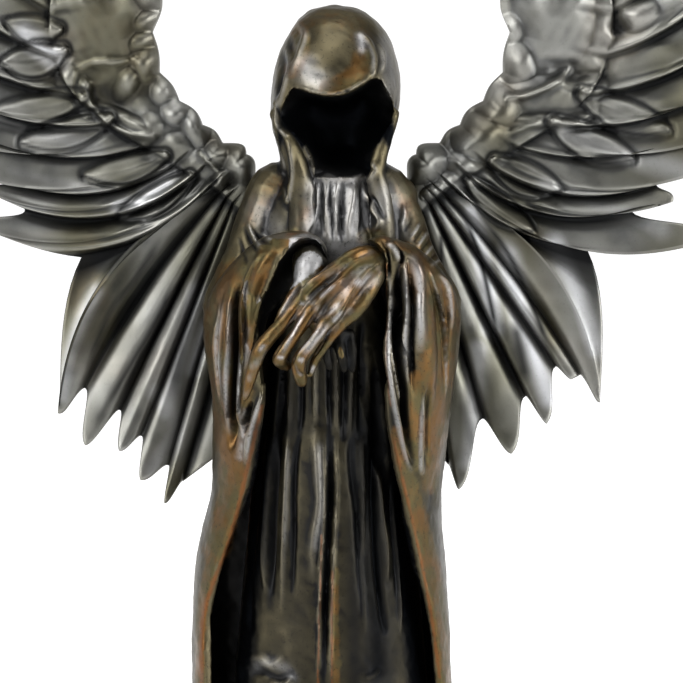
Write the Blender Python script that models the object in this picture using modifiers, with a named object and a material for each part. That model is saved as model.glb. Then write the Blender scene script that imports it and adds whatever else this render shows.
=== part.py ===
"""Hooded reaper figurine with crossed hands, long bell sleeves and raised wings, on a low round plinth.

It is a cold-cast resin ornament. The robed figure is one casting, each wing is a casting of its own that
is glued to the back, and the plinth is turned separately. Metres, +Z up, the figure looks along -Y, and
the origin is the middle of the plinth's underside.

The free forms are drawn on a grid: a figure of 246 steps from hem to crown, and wings of 227 steps from
the lowest feather tip to the highest. One step is 1 mm at the sizes below.
"""

import math

import bmesh
import bpy
import numpy as np
from mathutils import Matrix, Vector

# Driving sizes, in metres
FIGURE_HEIGHT = 0.246
WING_HEIGHT = 0.227
WING_SHEET = 0.0030
WING_TIP_SHEET = 0.0014
PLINTH_RADIUS = 0.050
PLINTH_HEIGHT = 0.012
PLINTH_MOULDING = 0.0025
CLEARANCE = 0.0003

# The grids that the free forms are drawn on
FIGURE_STEPS = 246
WING_STEPS = 227
STEP = FIGURE_HEIGHT / FIGURE_STEPS
WING_STEP = WING_HEIGHT / WING_STEPS

# How finely the castings are faceted
CLAY_GRAIN = 1.0 * STEP
HAND_GRAIN = 0.62 * STEP
FOLD_DEPTH = 1.3
WELD = 0.02 * STEP
WORKING_FACES = 15000
FIGURE_FACES = 5050
PLINTH_SIDES = 36

BRONZE = (0.085, 0.055, 0.030, 1.0)
GUNMETAL = (0.060, 0.058, 0.050, 1.0)
PLINTH_BLACK = (0.020, 0.019, 0.018, 1.0)


def clear_scene():
    """Removes every object that the file opened with."""
    for obj in list(bpy.data.objects):
        bpy.data.objects.remove(obj, do_unlink=True)


def collection(name):
    """A new collection in the scene."""
    made = bpy.data.collections.new(name)
    bpy.context.scene.collection.children.link(made)
    return made


def material(name, colour, roughness, metallic):
    """A plain Principled finish."""
    made = bpy.data.materials.new(name)
    made.use_nodes = True
    shader = made.node_tree.nodes["Principled BSDF"]
    shader.inputs["Base Color"].default_value = colour
    shader.inputs["Roughness"].default_value = roughness
    shader.inputs["Metallic"].default_value = metallic
    return made


def at(x, y, z):
    """A point of the figure's grid, in metres above its hem."""
    return Vector((x * STEP, y * STEP, z * STEP))


def smooth(keys, where):
    """Catmull-Rom through keys of (place, value, value, ...), read at each place in where."""
    keys = np.array(keys, float)
    places, values = keys[:, 0], keys[:, 1:]
    slopes = np.gradient(values, places, axis=0)
    out = []
    for place in np.atleast_1d(where):
        i = int(np.clip(np.searchsorted(places, place) - 1, 0, len(places) - 2))
        span = places[i + 1] - places[i]
        t = float(np.clip((place - places[i]) / span, 0, 1))
        out.append(
            (2 * t**3 - 3 * t**2 + 1) * values[i]
            + (t**3 - 2 * t**2 + t) * span * slopes[i]
            + (3 * t**2 - 2 * t**3) * values[i + 1]
            + (t**3 - t**2) * span * slopes[i + 1]
        )
    return np.array(out)


def mesh_object(name, bm, group):
    """An object from a bmesh, with its faces turned outwards."""
    bmesh.ops.recalc_face_normals(bm, faces=bm.faces)
    mesh = bpy.data.meshes.new(name)
    bm.to_mesh(mesh)
    bm.free()
    obj = bpy.data.objects.new(name, mesh)
    group.objects.link(obj)
    return obj


def loft(name, rings, group):
    """A closed skin over rings of equal length, capped at both ends."""
    bm = bmesh.new()
    rows = [[bm.verts.new(point) for point in ring] for ring in rings]
    for low, high in zip(rows, rows[1:]):
        for i in range(len(low)):
            j = (i + 1) % len(low)
            bm.faces.new((low[i], low[j], high[j], high[i]))
    bm.faces.new(rows[0][::-1])
    bm.faces.new(rows[-1])
    bmesh.ops.triangulate(bm, faces=[f for f in bm.faces if len(f.verts) > 4])
    return mesh_object(name, bm, group)


def evaluated_copy(obj, name, group):
    """A mesh object of what the modifiers or the curve make, and the first object is removed."""
    graph = bpy.context.evaluated_depsgraph_get()
    mesh = bpy.data.meshes.new_from_object(obj.evaluated_get(graph))
    made = bpy.data.objects.new(name, mesh)
    made.matrix_world = obj.matrix_world.copy()
    bpy.data.objects.remove(obj, do_unlink=True)
    group.objects.link(made)
    return made


def limb(name, path, group):
    """A round limb along (x, y, z, radius) points of the figure's grid, as a bevelled curve."""
    curve = bpy.data.curves.new(name, "CURVE")
    curve.dimensions = "3D"
    curve.bevel_depth = STEP
    curve.bevel_resolution = 4
    curve.use_fill_caps = True
    ends = np.linspace(0, 1, len(path))
    fine = smooth([(t, *point) for t, point in zip(ends, path)], np.linspace(0, 1, 4 * len(path)))
    spline = curve.splines.new("POLY")
    spline.points.add(len(fine) - 1)
    for point, (x, y, z, radius) in zip(spline.points, fine):
        point.co = (*at(x, y, z), 1)
        point.radius = radius
    obj = bpy.data.objects.new(name, curve)
    group.objects.link(obj)
    bpy.context.view_layer.update()
    made = evaluated_copy(obj, name, group)
    bm = bmesh.new()
    bm.from_mesh(made.data)
    bmesh.ops.remove_doubles(bm, verts=bm.verts, dist=0.00001)
    bm.to_mesh(made.data)
    bm.free()
    return made


def ball(name, centre, radii, group):
    """An ellipsoid on the figure's grid."""
    bm = bmesh.new()
    bmesh.ops.create_uvsphere(bm, u_segments=28, v_segments=18, radius=1)
    size = Matrix.Diagonal((*(radius * STEP for radius in radii), 1))
    bmesh.ops.transform(bm, matrix=Matrix.Translation(at(*centre)) @ size, verts=bm.verts)
    return mesh_object(name, bm, group)


def with_modifier(obj, kind, **settings):
    """The object with one modifier applied."""
    modifier = obj.modifiers.new(kind.title(), kind)
    for key, value in settings.items():
        setattr(modifier, key, value)
    bpy.context.view_layer.update()
    return evaluated_copy(obj, obj.name, obj.users_collection[0])


def fuse(name, lumps, grain, group):
    """Lumps of clay pressed into one closed skin."""
    bm = bmesh.new()
    for lump in lumps:
        bm.from_mesh(lump.data)
        bpy.data.objects.remove(lump, do_unlink=True)
    return with_modifier(mesh_object(name, bm, group), "REMESH", mode="VOXEL", voxel_size=grain)


def thin_out(obj, faces):
    """Collapses the flatter faces until about this many triangles are left."""
    obj.data.calc_loop_triangles()
    ratio = min(1.0, faces / len(obj.data.loop_triangles))
    return with_modifier(obj, "DECIMATE", ratio=ratio, use_collapse_triangulate=True)


def boolean(obj, other, operation):
    """The object cut by, or joined to, the other, which is then removed."""
    made = with_modifier(obj, "BOOLEAN", object=other, operation=operation, solver="EXACT")
    bpy.data.objects.remove(other, do_unlink=True)
    return made


def mended(obj):
    """Closes the few pinched edges that cutting and collapsing can leave, so the skin is one closed sheet."""
    bm = bmesh.new()
    bm.from_mesh(obj.data)
    bmesh.ops.remove_doubles(bm, verts=bm.verts, dist=WELD)
    bmesh.ops.dissolve_degenerate(bm, edges=bm.edges, dist=WELD)
    pinched = [edge for edge in bm.edges if len(edge.link_faces) != 2]
    rounds = 0
    while pinched and rounds < 8:
        around = {face for edge in pinched for vert in edge.verts for face in vert.link_faces}
        bmesh.ops.delete(bm, geom=list(around), context="FACES")
        bmesh.ops.delete(bm, geom=[edge for edge in bm.edges if not edge.link_faces], context="EDGES")
        bmesh.ops.delete(bm, geom=[vert for vert in bm.verts if not vert.link_edges], context="VERTS")
        bmesh.ops.holes_fill(bm, edges=[edge for edge in bm.edges if edge.is_boundary], sides=0)
        bmesh.ops.triangulate(bm, faces=[face for face in bm.faces if len(face.verts) > 3])
        pinched = [edge for edge in bm.edges if len(edge.link_faces) != 2]
        rounds += 1
    bmesh.ops.recalc_face_normals(bm, faces=bm.faces)
    bm.to_mesh(obj.data)
    bm.free()
    return obj


def mirrored(path):
    """The same path on the other side of the figure."""
    return [(-point[0], *point[1:]) for point in path]


# The robe, the cloak and the hood: rings up the figure

ROBE = [
    # height, half width, reach forwards, reach backwards
    (-4, 34, 27, 27),
    (8, 32, 25.5, 26),
    (30, 29, 23, 25),
    (56, 27, 21.5, 24),
    (90, 24, 19.5, 22),
    (120, 21.5, 17.5, 20),
    (150, 20, 15.5, 18),
    (166, 20, 15, 17),
    (180, 21, 14.5, 16.5),
    (190, 19, 13.5, 15.5),
    (198, 14, 12.5, 14),
    (204, 10, 9, 12),
    (212, 8, 7, 10),
]
CLOAK = [
    # height, left, right, forwards, backwards, left edge, right edge
    (-4, 41.5, 38.5, 29, 31, -35, 33),
    (12, 40, 36, 28, 29, -35, 32),
    (34, 39.2, 34.6, 27, 27, -35, 31.5),
    (56, 39.2, 33.9, 26.5, 25, -35, 31),
    (76, 39.0, 33.1, 26.5, 24, -35.2, 28.6),
    (90, 38.1, 32.1, 26.5, 23, -32, 25.2),
    (100, 36.0, 31.2, 26.5, 22.5, -28.6, 23),
    (109, 33.8, 31.0, 26.5, 22, -25.4, 20.8),
    (122, 33.3, 32.2, 26.5, 21.5, -22, 17.6),
    (136, 33.3, 34.0, 26.5, 21, -19.3, 15.6),
    (152, 35.6, 35.8, 26, 20, -18.5, 16),
    (161, 35.2, 36.0, 24, 18, -18.0, 16),
    (169, 31.0, 32.5, 20, 15, -17.5, 16),
]
HOOD = [
    # height, left, right, forwards, backwards
    (176, 9, 11, 9, 13),
    (186, 10.5, 12.5, 11, 14),
    (194, 12.2, 14.0, 12.5, 15.0),
    (201, 13.9, 15.2, 14, 16.2),
    (206, 14.8, 16.0, 15.5, 17.0),
    (211.5, 16.3, 16.9, 18, 17.8),
    (217, 16.8, 18.8, 21, 18.4),
    (222, 16.6, 19.3, 23, 18.6),
    (228, 15.8, 18.9, 21.5, 18.0),
    (234, 13.9, 17.4, 18.5, 16.4),
    (239, 11.2, 14.8, 14.5, 13.6),
    (243, 8.0, 10.9, 9.8, 10.0),
    (245.4, 3.6, 5.8, 4.6, 5.0),
    (246, 0.6, 1.8, 1.2, 1.2),
]
RING_POINTS = 44


def oval(height, left, right, forwards, backwards):
    """One ring of a body, with its own reach on each of the four sides."""
    turns = np.linspace(0, 2 * math.pi, RING_POINTS, endpoint=False)
    return [
        at(
            (right if math.cos(t) > 0 else left) * math.cos(t),
            (backwards if math.sin(t) > 0 else forwards) * math.sin(t),
            height,
        )
        for t in turns
    ]


def body_of_rings(name, keys, rows, group):
    """A loft of ovals through the keyed heights."""
    heights = np.linspace(keys[0][0], keys[-1][0], rows)
    rings = [oval(h, *np.maximum(sizes, 0.3)) for h, sizes in zip(heights, smooth(keys, heights))]
    return loft(name, rings, group)


def cloak(group):
    """The bell sleeves and the back of the robe: a shell that stands open down the front."""
    rim, side, buried = 2.4, 7.0, 15.0
    heights = np.linspace(CLOAK[0][0], CLOAK[-1][0], 44)
    rings = []
    for height, sizes in zip(heights, smooth(CLOAK, heights)):
        left, right, forwards, backwards, left_edge, right_edge = sizes
        start = math.pi + math.acos(min(-left_edge / left, 0.995))
        end = math.tau - math.acos(min(right_edge / right, 0.995))
        turns = np.linspace(start, end - math.tau, 40)
        outer, inner = [], []
        for share, turn in zip(np.linspace(0, 1, len(turns)), turns):
            c, s = math.cos(turn), math.sin(turn)
            across = right if c > 0 else left
            along = backwards if s > 0 else forwards
            from_edge = min(share, 1 - share)
            wall = float(np.interp(from_edge, (0, 0.12, 0.22, 0.32), (rim, rim + 0.6, side, buried)))
            outer.append(at(across * c, along * s, height))
            inner.append(at((across - wall) * c, (along - wall) * s, height))
        rings.append(outer + inner[::-1])
    return loft("cloak", rings, group)


# Arms in their sleeves, shoulders and the edges of the hood

LEFT_ARM = [(-14.5, 3, 193, 9.4), (-18.5, 2, 184, 8.8), (-22, 0, 174, 8.6), (-27.5, -2, 162, 8.6)]
RIGHT_ARM = [(14.0, 3, 193, 9.0), (18.2, 2, 184, 8.4), (21.8, 0, 174, 8.2), (28.2, -2, 163, 8.4)]
LEFT_SLEEVE = [(-28.0, -3, 159, 8.0), (-23.5, -11, 165, 8.6), (-16, -18, 170.5, 8.2), (-9.8, -21.5, 173.8, 7.6),
               (-4.6, -23.4, 174.4, 6.4)]
RIGHT_SLEEVE = [(28.5, -3, 160, 8.0), (24.5, -11, 166, 8.2), (19, -18, 171, 7.8), (14.2, -21.8, 173.6, 7.2),
                (10.2, -23.2, 174.0, 6.6)]
LEFT_LAPEL = [(-15.5, -10, 216, 1.7), (-12.4, -13.2, 209, 2.4), (-9.2, -13.6, 201, 3.0),
              (-8.4, -13.2, 192, 3.2), (-8.6, -13.2, 183, 3.2), (-10, -12.6, 174, 3.0)]
RIGHT_LAPEL = [(17.6, -9, 216, 1.6), (14.6, -12.2, 208, 2.2), (12.4, -12.8, 200, 2.6),
               (14.0, -12.6, 192, 3.0), (14.6, -12.6, 183, 3.2), (15, -12, 174, 3.0)]


def shoulders(group):
    """The slope from the neck to each arm."""
    return [
        ball("left_shoulder", (-12, 4, 192), (12.5, 10.5, 8.5), group),
        ball("right_shoulder", (12.5, 4, 192), (12.0, 10.5, 8.5), group),
        ball("upper_back", (0, 8, 186), (19, 10.5, 17), group),
    ]


# Hollows that are cut: the face of the hood and the mouths of the sleeves

HOOD_MOUTH = [(-11.6, 223.2), (-7.0, 222.2), (-2.8, 221.0), (0.9, 220.8), (5.5, 221.7), (10.2, 224.0),
              (13.2, 225.0), (15.8, 221.0), (17.5, 217.2), (15.0, 210.5), (12.0, 205.0), (9.9, 201.0),
              (9.8, 197.6), (-5.0, 197.6), (-5.4, 201.3), (-7.6, 206.8), (-10.8, 211.5), (-14.0, 215.2),
              (-14.0, 218.4), (-12.9, 221.0)]
HOOD_MOUTH_CENTRE = (1.4, 211)
HOOD_DEPTHS = [(-34, 1.0), (-12, 0.99), (-5, 0.86), (2, 0.68), (7, 0.40)]
LEFT_HOLLOW = [(1.5, -28, 172, 4.2), (-4.5, -23.5, 171.2, 4.8), (-9.4, -20, 166, 5.4), (-12.4, -17.5, 156, 4.8),
               (-13.8, -15.5, 143, 4.2), (-16.2, -14.5, 128, 3.6), (-19.0, -14, 114, 2.6), (-21.5, -13.5, 101, 1.2)]
RIGHT_HOLLOW = [(5.6, -28, 171.5, 4.0), (9.8, -23.4, 169.6, 4.6), (11.8, -20, 164, 4.8), (11.8, -17.5, 154, 4.4),
                (12.1, -15.5, 142, 4.0), (13.6, -14.5, 128, 3.4), (16.0, -14, 114, 2.4), (18.2, -13.5, 101, 1.2)]


def hood_hollow(group):
    """The empty face of the hood, narrowing as it goes in."""
    middle_x, middle_z = HOOD_MOUTH_CENTRE
    rings = [
        [at(middle_x + (x - middle_x) * share, y, middle_z + (z - middle_z) * share) for x, z in HOOD_MOUTH]
        for y, share in HOOD_DEPTHS
    ]
    return loft("hood_hollow", rings, group)


# The hands, joint by joint: x, y, z, radius

WRISTS = [
    [(15.5, -20, 175.5, 4.0), (11.0, -23.4, 172.2, 4.2), (5.2, -26.2, 166.4, 4.6), (-1.0, -28.0, 161.2, 4.2)],
    [(-9.0, -19, 178.5, 4.0), (-8.0, -22.4, 170.0, 4.2), (-6.2, -24.0, 161.0, 4.6), (-1.5, -24.6, 152.0, 4.0)],
]
UPPER_HAND = [
    # the back of the hand, one bone for each finger
    [(9.2, -25.6, 174.4, 2.2), (0.5, -28.0, 169.2, 2.2), (-7.9, -29.6, 163.9, 2.5)],
    [(9.8, -26.4, 172.4, 2.2), (2.0, -29.0, 166.2, 2.2), (-5.1, -30.8, 160.1, 2.5)],
    [(10.8, -26.0, 170.4, 2.2), (4.8, -29.0, 163.2, 2.2), (-1.4, -31.2, 156.9, 2.5)],
    [(11.8, -24.6, 168.6, 2.2), (7.6, -27.6, 161.0, 2.2), (2.3, -30.4, 155.9, 2.4)],
    # the fingers
    [(-7.9, -29.8, 163.9, 2.4), (-14.4, -30.2, 156.9, 2.0), (-20.0, -30.0, 149.9, 2.2), (-21.9, -29.2, 143.6, 1.8),
     (-23.5, -27.6, 136.2, 0.9)],
    [(-5.1, -31.0, 160.1, 2.4), (-10.0, -32.0, 153.4, 1.9), (-14.3, -31.4, 147.6, 2.1), (-13.9, -28.6, 145.6, 1.7)],
    [(-1.4, -31.4, 156.9, 2.4), (-5.6, -32.6, 151.7, 2.0), (-9.2, -32.2, 147.0, 2.2), (-9.4, -31.0, 143.0, 2.0),
     (-9.0, -28.6, 139.8, 1.3)],
    [(2.3, -30.6, 155.9, 2.2), (-1.5, -31.6, 150.9, 1.8), (-4.7, -31.0, 146.2, 1.9), (-5.2, -28.8, 141.8, 1.3)],
]
LOWER_HAND = [
    [(-8.4, -24.4, 168.6, 2.2), (-11.0, -26.6, 162.4, 1.8), (-13.6, -27.4, 157.4, 1.5), (-15.2, -26.6, 152.6, 1.0)],
    [(-1.8, -26.0, 153.0, 2.0), (-1.0, -27.6, 147.4, 1.7), (-0.8, -26.6, 142.6, 1.2)],
    [(2.2, -26.0, 152.6, 2.0), (3.0, -27.2, 147.2, 1.7), (3.0, -26.0, 142.6, 1.2)],
    [(5.4, -24.6, 152.6, 1.8), (6.4, -25.6, 148.0, 1.5), (6.2, -24.4, 144.0, 1.1)],
]


# Folds: (width, height, points). A height below nought is a groove. Points are (x, z) seen from the front

FRONT_FOLDS = [
    # left sleeve, from its outer side inwards
    (1.5, 1.2, [(-31.2, 163), (-31.9, 153), (-31.0, 138), (-29.6, 124)]),
    (1.1, -1.5, [(-29.4, 165), (-30.0, 153), (-29.4, 138), (-28.2, 124)]),
    (1.4, 1.5, [(-28.0, 168), (-28.6, 156), (-28.2, 140), (-27.2, 126)]),
    (1.4, -2.4, [(-24.4, 171), (-26.6, 160), (-26.8, 144), (-26.4, 128)]),
    (1.3, 1.8, [(-20.4, 176), (-24.2, 168), (-25.0, 156), (-24.8, 142), (-25.6, 128)]),
    (1.0, -1.4, [(-18.4, 175.5), (-22.4, 165), (-23.4, 154), (-23.6, 140)]),
    (1.4, 1.6, [(-15.4, 176.5), (-20.4, 165), (-22.2, 152), (-23.0, 138), (-24.6, 126)]),
    (0.9, -1.1, [(-14.2, 172), (-18.4, 161), (-20.2, 148), (-21.2, 136)]),
    # right sleeve, from its inner side outwards
    (1.2, 1.2, [(16.4, 176), (16.6, 164), (16.2, 150), (16.8, 134)]),
    (1.5, -2.4, [(18.2, 172), (17.8, 158), (17.4, 148), (19.0, 132), (22.4, 118)]),
    (1.5, 1.8, [(19.6, 177), (21.2, 166), (20.6, 152), (20.8, 140), (22.6, 126)]),
    (1.2, -1.0, [(23.4, 174), (24.0, 160), (23.4, 146), (25.0, 130)]),
    (1.4, 1.1, [(27.0, 170), (28.6, 158), (28.4, 140), (28.4, 122)]),
    (1.3, 1.2, [(24.4, 112), (27.4, 104), (30.4, 96), (31.2, 88)]),
    # robe between the sleeves, with the seam down the middle
    (0.8, 1.0, [(-2.2, 132), (-2.4, 100), (-2.9, 70), (-3.4, 40), (-3.6, 2)]),
    (0.8, -1.3, [(-0.9, 132), (-1.0, 100), (-1.4, 70), (-1.8, 40), (-1.8, 2)]),
    (0.8, 1.0, [(0.4, 132), (0.5, 100), (0.2, 70), (-0.2, 40), (-0.1, 2)]),
    (1.6, 1.3, [(-5.4, 136), (-6.0, 112), (-7.2, 86), (-8.0, 50), (-9.0, 4)]),
    (1.3, -1.6, [(-9.4, 134), (-10.6, 110), (-11.4, 84)]),
    (1.5, 1.4, [(-12.0, 128), (-13.8, 104), (-15.4, 80), (-17.0, 40), (-18.4, 4)]),
    (1.4, -1.8, [(-14.8, 122), (-17.0, 100), (-18.6, 76), (-21.0, 40), (-22.6, 4)]),
    (1.6, 1.4, [(5.0, 134), (5.6, 100), (6.0, 60), (7.0, 4)]),
    (1.2, -1.6, [(8.8, 134), (9.0, 108), (10.2, 80), (12.0, 50)]),
    (1.5, 1.5, [(11.0, 130), (12.4, 108), (14.0, 80), (15.2, 40), (16.2, 4)]),
    (1.2, -1.6, [(13.4, 128), (14.8, 104), (17.0, 76), (19.0, 40), (20.4, 4)]),
    # crinkled front of the chest
    (1.0, -1.2, [(-1.8, 197), (-1.6, 188), (-0.6, 178)]),
    (1.0, 1.0, [(0.6, 197), (1.2, 188), (1.6, 178)]),
    (0.9, -1.2, [(3.2, 197), (3.8, 188), (3.6, 178)]),
    (1.1, 1.0, [(6.4, 197), (6.2, 188), (5.8, 178)]),
    (0.9, -1.0, [(9.0, 196), (8.8, 188), (8.4, 180)]),
    # creases where each arm bends
    (0.9, -1.1, [(-25.0, 181), (-21.4, 175), (-19.0, 170)]),
    (0.9, -1.0, [(-25.6, 176), (-22.4, 172), (-20.4, 168)]),
    (0.9, -1.1, [(24.4, 186), (21.4, 181), (19.6, 177)]),
    (0.9, -1.1, [(26.4, 181), (23.6, 177.5), (21.6, 175)]),
    # dents in the front of the hood
    (1.4, 0.9, [(-10.6, 240), (-12.6, 232), (-11.0, 224)]),
    (1.3, 0.9, [(8.0, 241), (12.2, 233), (12.6, 226)]),
    (2.2, -0.8, [(-7.4, 238), (-8.6, 230), (-7.4, 225)]),
    (1.6, -0.8, [(9.8, 236), (10.6, 230), (9.6, 226)]),
]
BACK_FOLDS = [
    (2.6, 1.7, [(0, 176), (0.4, 120), (0, 60), (0, 2)]),
    (2.2, -1.6, [(-5.4, 168), (-6.4, 110), (-7.4, 2)]),
    (2.4, 1.5, [(-10, 170), (-12, 110), (-14, 2)]),
    (2.2, -1.5, [(-14.6, 160), (-18, 100), (-21, 2)]),
    (2.4, 1.4, [(-19, 158), (-23.4, 100), (-27.4, 2)]),
    (2.2, -1.6, [(5.4, 168), (6.2, 110), (7.2, 2)]),
    (2.4, 1.5, [(10, 170), (11.6, 110), (13.4, 2)]),
    (2.2, -1.5, [(14.6, 160), (17, 100), (19.6, 2)]),
    (2.4, 1.4, [(19, 158), (22.4, 100), (26, 2)]),
    (1.8, 1.0, [(-4, 240), (-7, 220), (-6, 200), (-12, 190)]),
    (1.8, 1.0, [(5, 240), (8, 220), (7, 200), (13, 190)]),
]


def from_path(points, path):
    """Distance of each (x, z) point from a path, and how far along the path it is, from 0 to 1."""
    ends = np.linspace(0, 1, len(path))
    fine = smooth([(t, *p) for t, p in zip(ends, path)], np.linspace(0, 1, 6 * len(path)))
    best = np.full(len(points), 1e9)
    share = np.zeros(len(points))
    for i, (start, end) in enumerate(zip(fine, fine[1:])):
        along = end - start
        t = np.clip(((points - start) @ along) / max(along @ along, 1e-9), 0, 1)
        far = np.linalg.norm(points - start - t[:, None] * along, axis=1)
        nearer = far < best
        best[nearer] = far[nearer]
        share[nearer] = (i + t[nearer]) / (len(fine) - 1)
    return best, share


def carve(obj, folds, facing):
    """Raises or sinks each fold along the surface's normals, on the side that faces this way along Y."""
    mesh = obj.data
    count = len(mesh.vertices)
    spots = np.empty(count * 3)
    mesh.vertices.foreach_get("co", spots)
    spots = spots.reshape(-1, 3)
    normals = np.empty(count * 3)
    mesh.vertices.foreach_get("normal", normals)
    normals = normals.reshape(-1, 3)
    seen = spots[:, [0, 2]] / STEP
    turned = np.clip(normals[:, 1] * facing * 1.6, 0, 1)
    lift = np.zeros(count)
    for width, height, path in folds:
        far, share = from_path(seen, path)
        fade = np.clip(np.minimum(share, 1 - share) * 8, 0, 1) ** 0.5
        lift += FOLD_DEPTH * height * fade * np.exp(-((far / width) ** 2)) * turned
    spots += normals * (lift * STEP)[:, None]
    mesh.vertices.foreach_set("co", spots.ravel())
    mesh.update()


def figure(work, group, finish):
    """The hooded figure, in one casting from its hem to its crown."""
    lumps = [
        body_of_rings("robe", [(z, x, x, front, back) for z, x, front, back in ROBE], 40, work),
        body_of_rings("hood", HOOD, 34, work),
        cloak(work),
        limb("left_arm", LEFT_ARM, work),
        limb("right_arm", RIGHT_ARM, work),
        limb("left_sleeve", LEFT_SLEEVE, work),
        limb("right_sleeve", RIGHT_SLEEVE, work),
        limb("left_lapel", LEFT_LAPEL, work),
        limb("right_lapel", RIGHT_LAPEL, work),
        *shoulders(work),
    ]
    made = fuse("reaper_figure", lumps, CLAY_GRAIN, work)
    carve(made, FRONT_FOLDS, -1)
    carve(made, BACK_FOLDS, 1)
    made = thin_out(made, WORKING_FACES)
    made = boolean(made, hood_hollow(work), "DIFFERENCE")
    for name, path in (("left_hollow", LEFT_HOLLOW), ("right_hollow", RIGHT_HOLLOW)):
        made = boolean(made, limb(name, path, work), "DIFFERENCE")
    bones = [limb(f"bone_{i}", path, work) for i, path in enumerate(WRISTS + UPPER_HAND + LOWER_HAND)]
    hands = thin_out(fuse("hands", bones, HAND_GRAIN, work), WORKING_FACES // 6)
    made = thin_out(mended(boolean(made, hands, "UNION")), FIGURE_FACES)
    made = boolean(mended(made), slab_below_hem(work), "DIFFERENCE")
    return adopt(mended(largest_body(made)), "reaper_figure", group, finish)


def slab_below_hem(group):
    """What is sawn off under the hem, so that the figure stands flat."""
    deep = 0.1 * FIGURE_HEIGHT
    bm = bmesh.new()
    bmesh.ops.create_cube(bm, size=1)
    place = Matrix.Translation((0, 0, -deep / 2))
    size = Matrix.Diagonal((FIGURE_HEIGHT, FIGURE_HEIGHT, deep, 1))
    bmesh.ops.transform(bm, matrix=place @ size, verts=bm.verts)
    return mesh_object("slab", bm, group)


def adopt(obj, name, group, finish):
    """Puts a finished piece in the part's own collection, with its name, finish and shading."""
    for old in obj.users_collection:
        old.objects.unlink(obj)
    group.objects.link(obj)
    obj.name = name
    obj.data.materials.clear()
    obj.data.materials.append(finish)
    obj.data.shade_smooth()
    obj.data.set_sharp_from_angle(angle=math.radians(50))
    return obj


# The wings: a bony arm that climbs beside the head, and a fan of pleated feathers that hangs from it

ARM_INNER = [(-15.0, 188.5), (-20.0, 196.5), (-22.1, 202.9), (-24.6, 206.8), (-30.5, 209.0), (-34.7, 213.0),
             (-39.5, 218.0), (-44.5, 223.6), (-48.0, 230.3), (-49.3, 239.3), (-47.5, 247.6), (-44.5, 256.1),
             (-40.0, 266.7), (-34.4, 277.1), (-27.7, 284.1)]
ARM_OUTER = [(-18.0, 183.5), (-25.5, 189.5), (-31.0, 195.0), (-34.4, 197.3), (-39.5, 200.1), (-45.6, 203.5),
             (-53.5, 208.5), (-63.3, 214.7), (-71.7, 222.5), (-76.4, 232.3), (-78.1, 243.5), (-75.9, 256.1),
             (-68.9, 270.1), (-56.3, 282.7), (-40.9, 291.1)]
ARM_BULGE = [(0, 3.2), (0.2, 5.0), (0.45, 4.6), (0.7, 4.0), (1, 2.2)]
COVERT_EDGE = 1.7


class Feather:
    """One pleat of a wing: where it leaves the arm, its tip and the notch that follows it.

    bow is how far its spine curves, as a share of its length, and fall the same for the valley beside it.
    scoop is how hollow its edge is between the tip and the notch.
    """

    def __init__(self, root, tip, notch, bow, fall, scoop=0.10):
        self.root = root
        self.tip = tip
        self.notch = notch
        self.bow = bow
        self.fall = fall
        self.scoop = scoop


# Where each of the lower pleats leaves the arm, and how it bends: root, bow, fall, scoop
LOWER_PLEATS = [
    (0.00, 0.02, 0.00, 0.02),
    (0.05, 0.00, 0.00, 0.12),
    (0.08, 0.02, 0.00, 0.12),
    (0.105, 0.02, 0.02, 0.12),
    (0.125, 0.04, 0.06, 0.12),
    (0.15, 0.30, -0.18, -0.10),
    (0.23, -0.30, -0.28, 0.10),
    (0.30, -0.27, -0.27, 0.10),
]
LEFT_TIPS = [(-29.0, 122.0), (-46.8, 106.3), (-53.5, 112.9), (-59.4, 121.1), (-69.0, 122.7), (-76.6, 131.8),
             (-98.8, 184.4), (-96.0, 194.5)]
LEFT_NOTCHES = [(-41.5, 112.4), (-45.6, 116.8), (-53.2, 125.2), (-59.3, 132.6), (-69.0, 138.7), (-69.9, 176.0),
                (-85.7, 189.7), (-89.5, 198.0)]
RIGHT_TIPS = [(-29.0, 122.0), (-35.8, 110.2), (-50.5, 120.3), (-60.3, 128.8), (-67.2, 141.4), (-75.3, 134.9),
              (-105.3, 180.5), (-95.4, 191.8)]
RIGHT_NOTCHES = [(-32.8, 117.0), (-42.3, 130.1), (-54.5, 136.5), (-62.9, 144.9), (-69.8, 142.6), (-71.7, 178.0),
                 (-83.6, 190.2), (-91.0, 197.4)]
UPPER_COUNT = 9
UPPER_CENTRE = (-61.9, 242.0)
UPPER_TURN = (223, 78)


def lower_feathers(tips, notches):
    """The pleats whose tips show in the photograph, from the body outwards."""
    return [Feather(root, tip, notch, bow, fall, scoop)
            for (root, bow, fall, scoop), tip, notch in zip(LOWER_PLEATS, tips, notches)]


def upper_feathers(count):
    """The flight feathers above them, spread round the bend of the arm and curling the same way."""
    made = []
    first, last = UPPER_TURN

    def spot(share, reach):
        turn = math.radians(first + (last - first) * share)
        return (UPPER_CENTRE[0] + reach * math.cos(turn), UPPER_CENTRE[1] + reach * math.sin(turn))

    for share in np.linspace(0, 1, count):
        reach = float(np.interp(share, (0, 0.35, 0.8, 1), (60, 69, 90, 80)))
        bow = -0.24 + 0.08 * share
        tip = spot(share, reach)
        notch = spot(share + 0.55 / (count - 1), reach * 0.82)
        made.append(Feather(0.37 + 0.63 * share, tip, notch, bow, bow))
    return made


WING_ROOT = (-24.0, 200.0)
WING_BACKSET = 13.0
ARM_ROWS = (0.0, 0.38, 0.80, 0.97)
FEATHER_ROWS = (0.06, 0.38, 0.72, 1.0)
PLEATS = [(0, 2.3), (0.18, 2.6), (0.4, 1.8), (1, 1.5)]


def along_feather(root, tip, bow, share):
    """A point of a feather's spine, which sags by bow times its length."""
    root, tip = np.array(root), np.array(tip)
    run = tip - root
    side = np.array((run[1], -run[0]))
    middle = (root + tip) / 2 + side * bow
    return (1 - share) ** 2 * root + 2 * share * (1 - share) * middle + share**2 * tip


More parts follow.
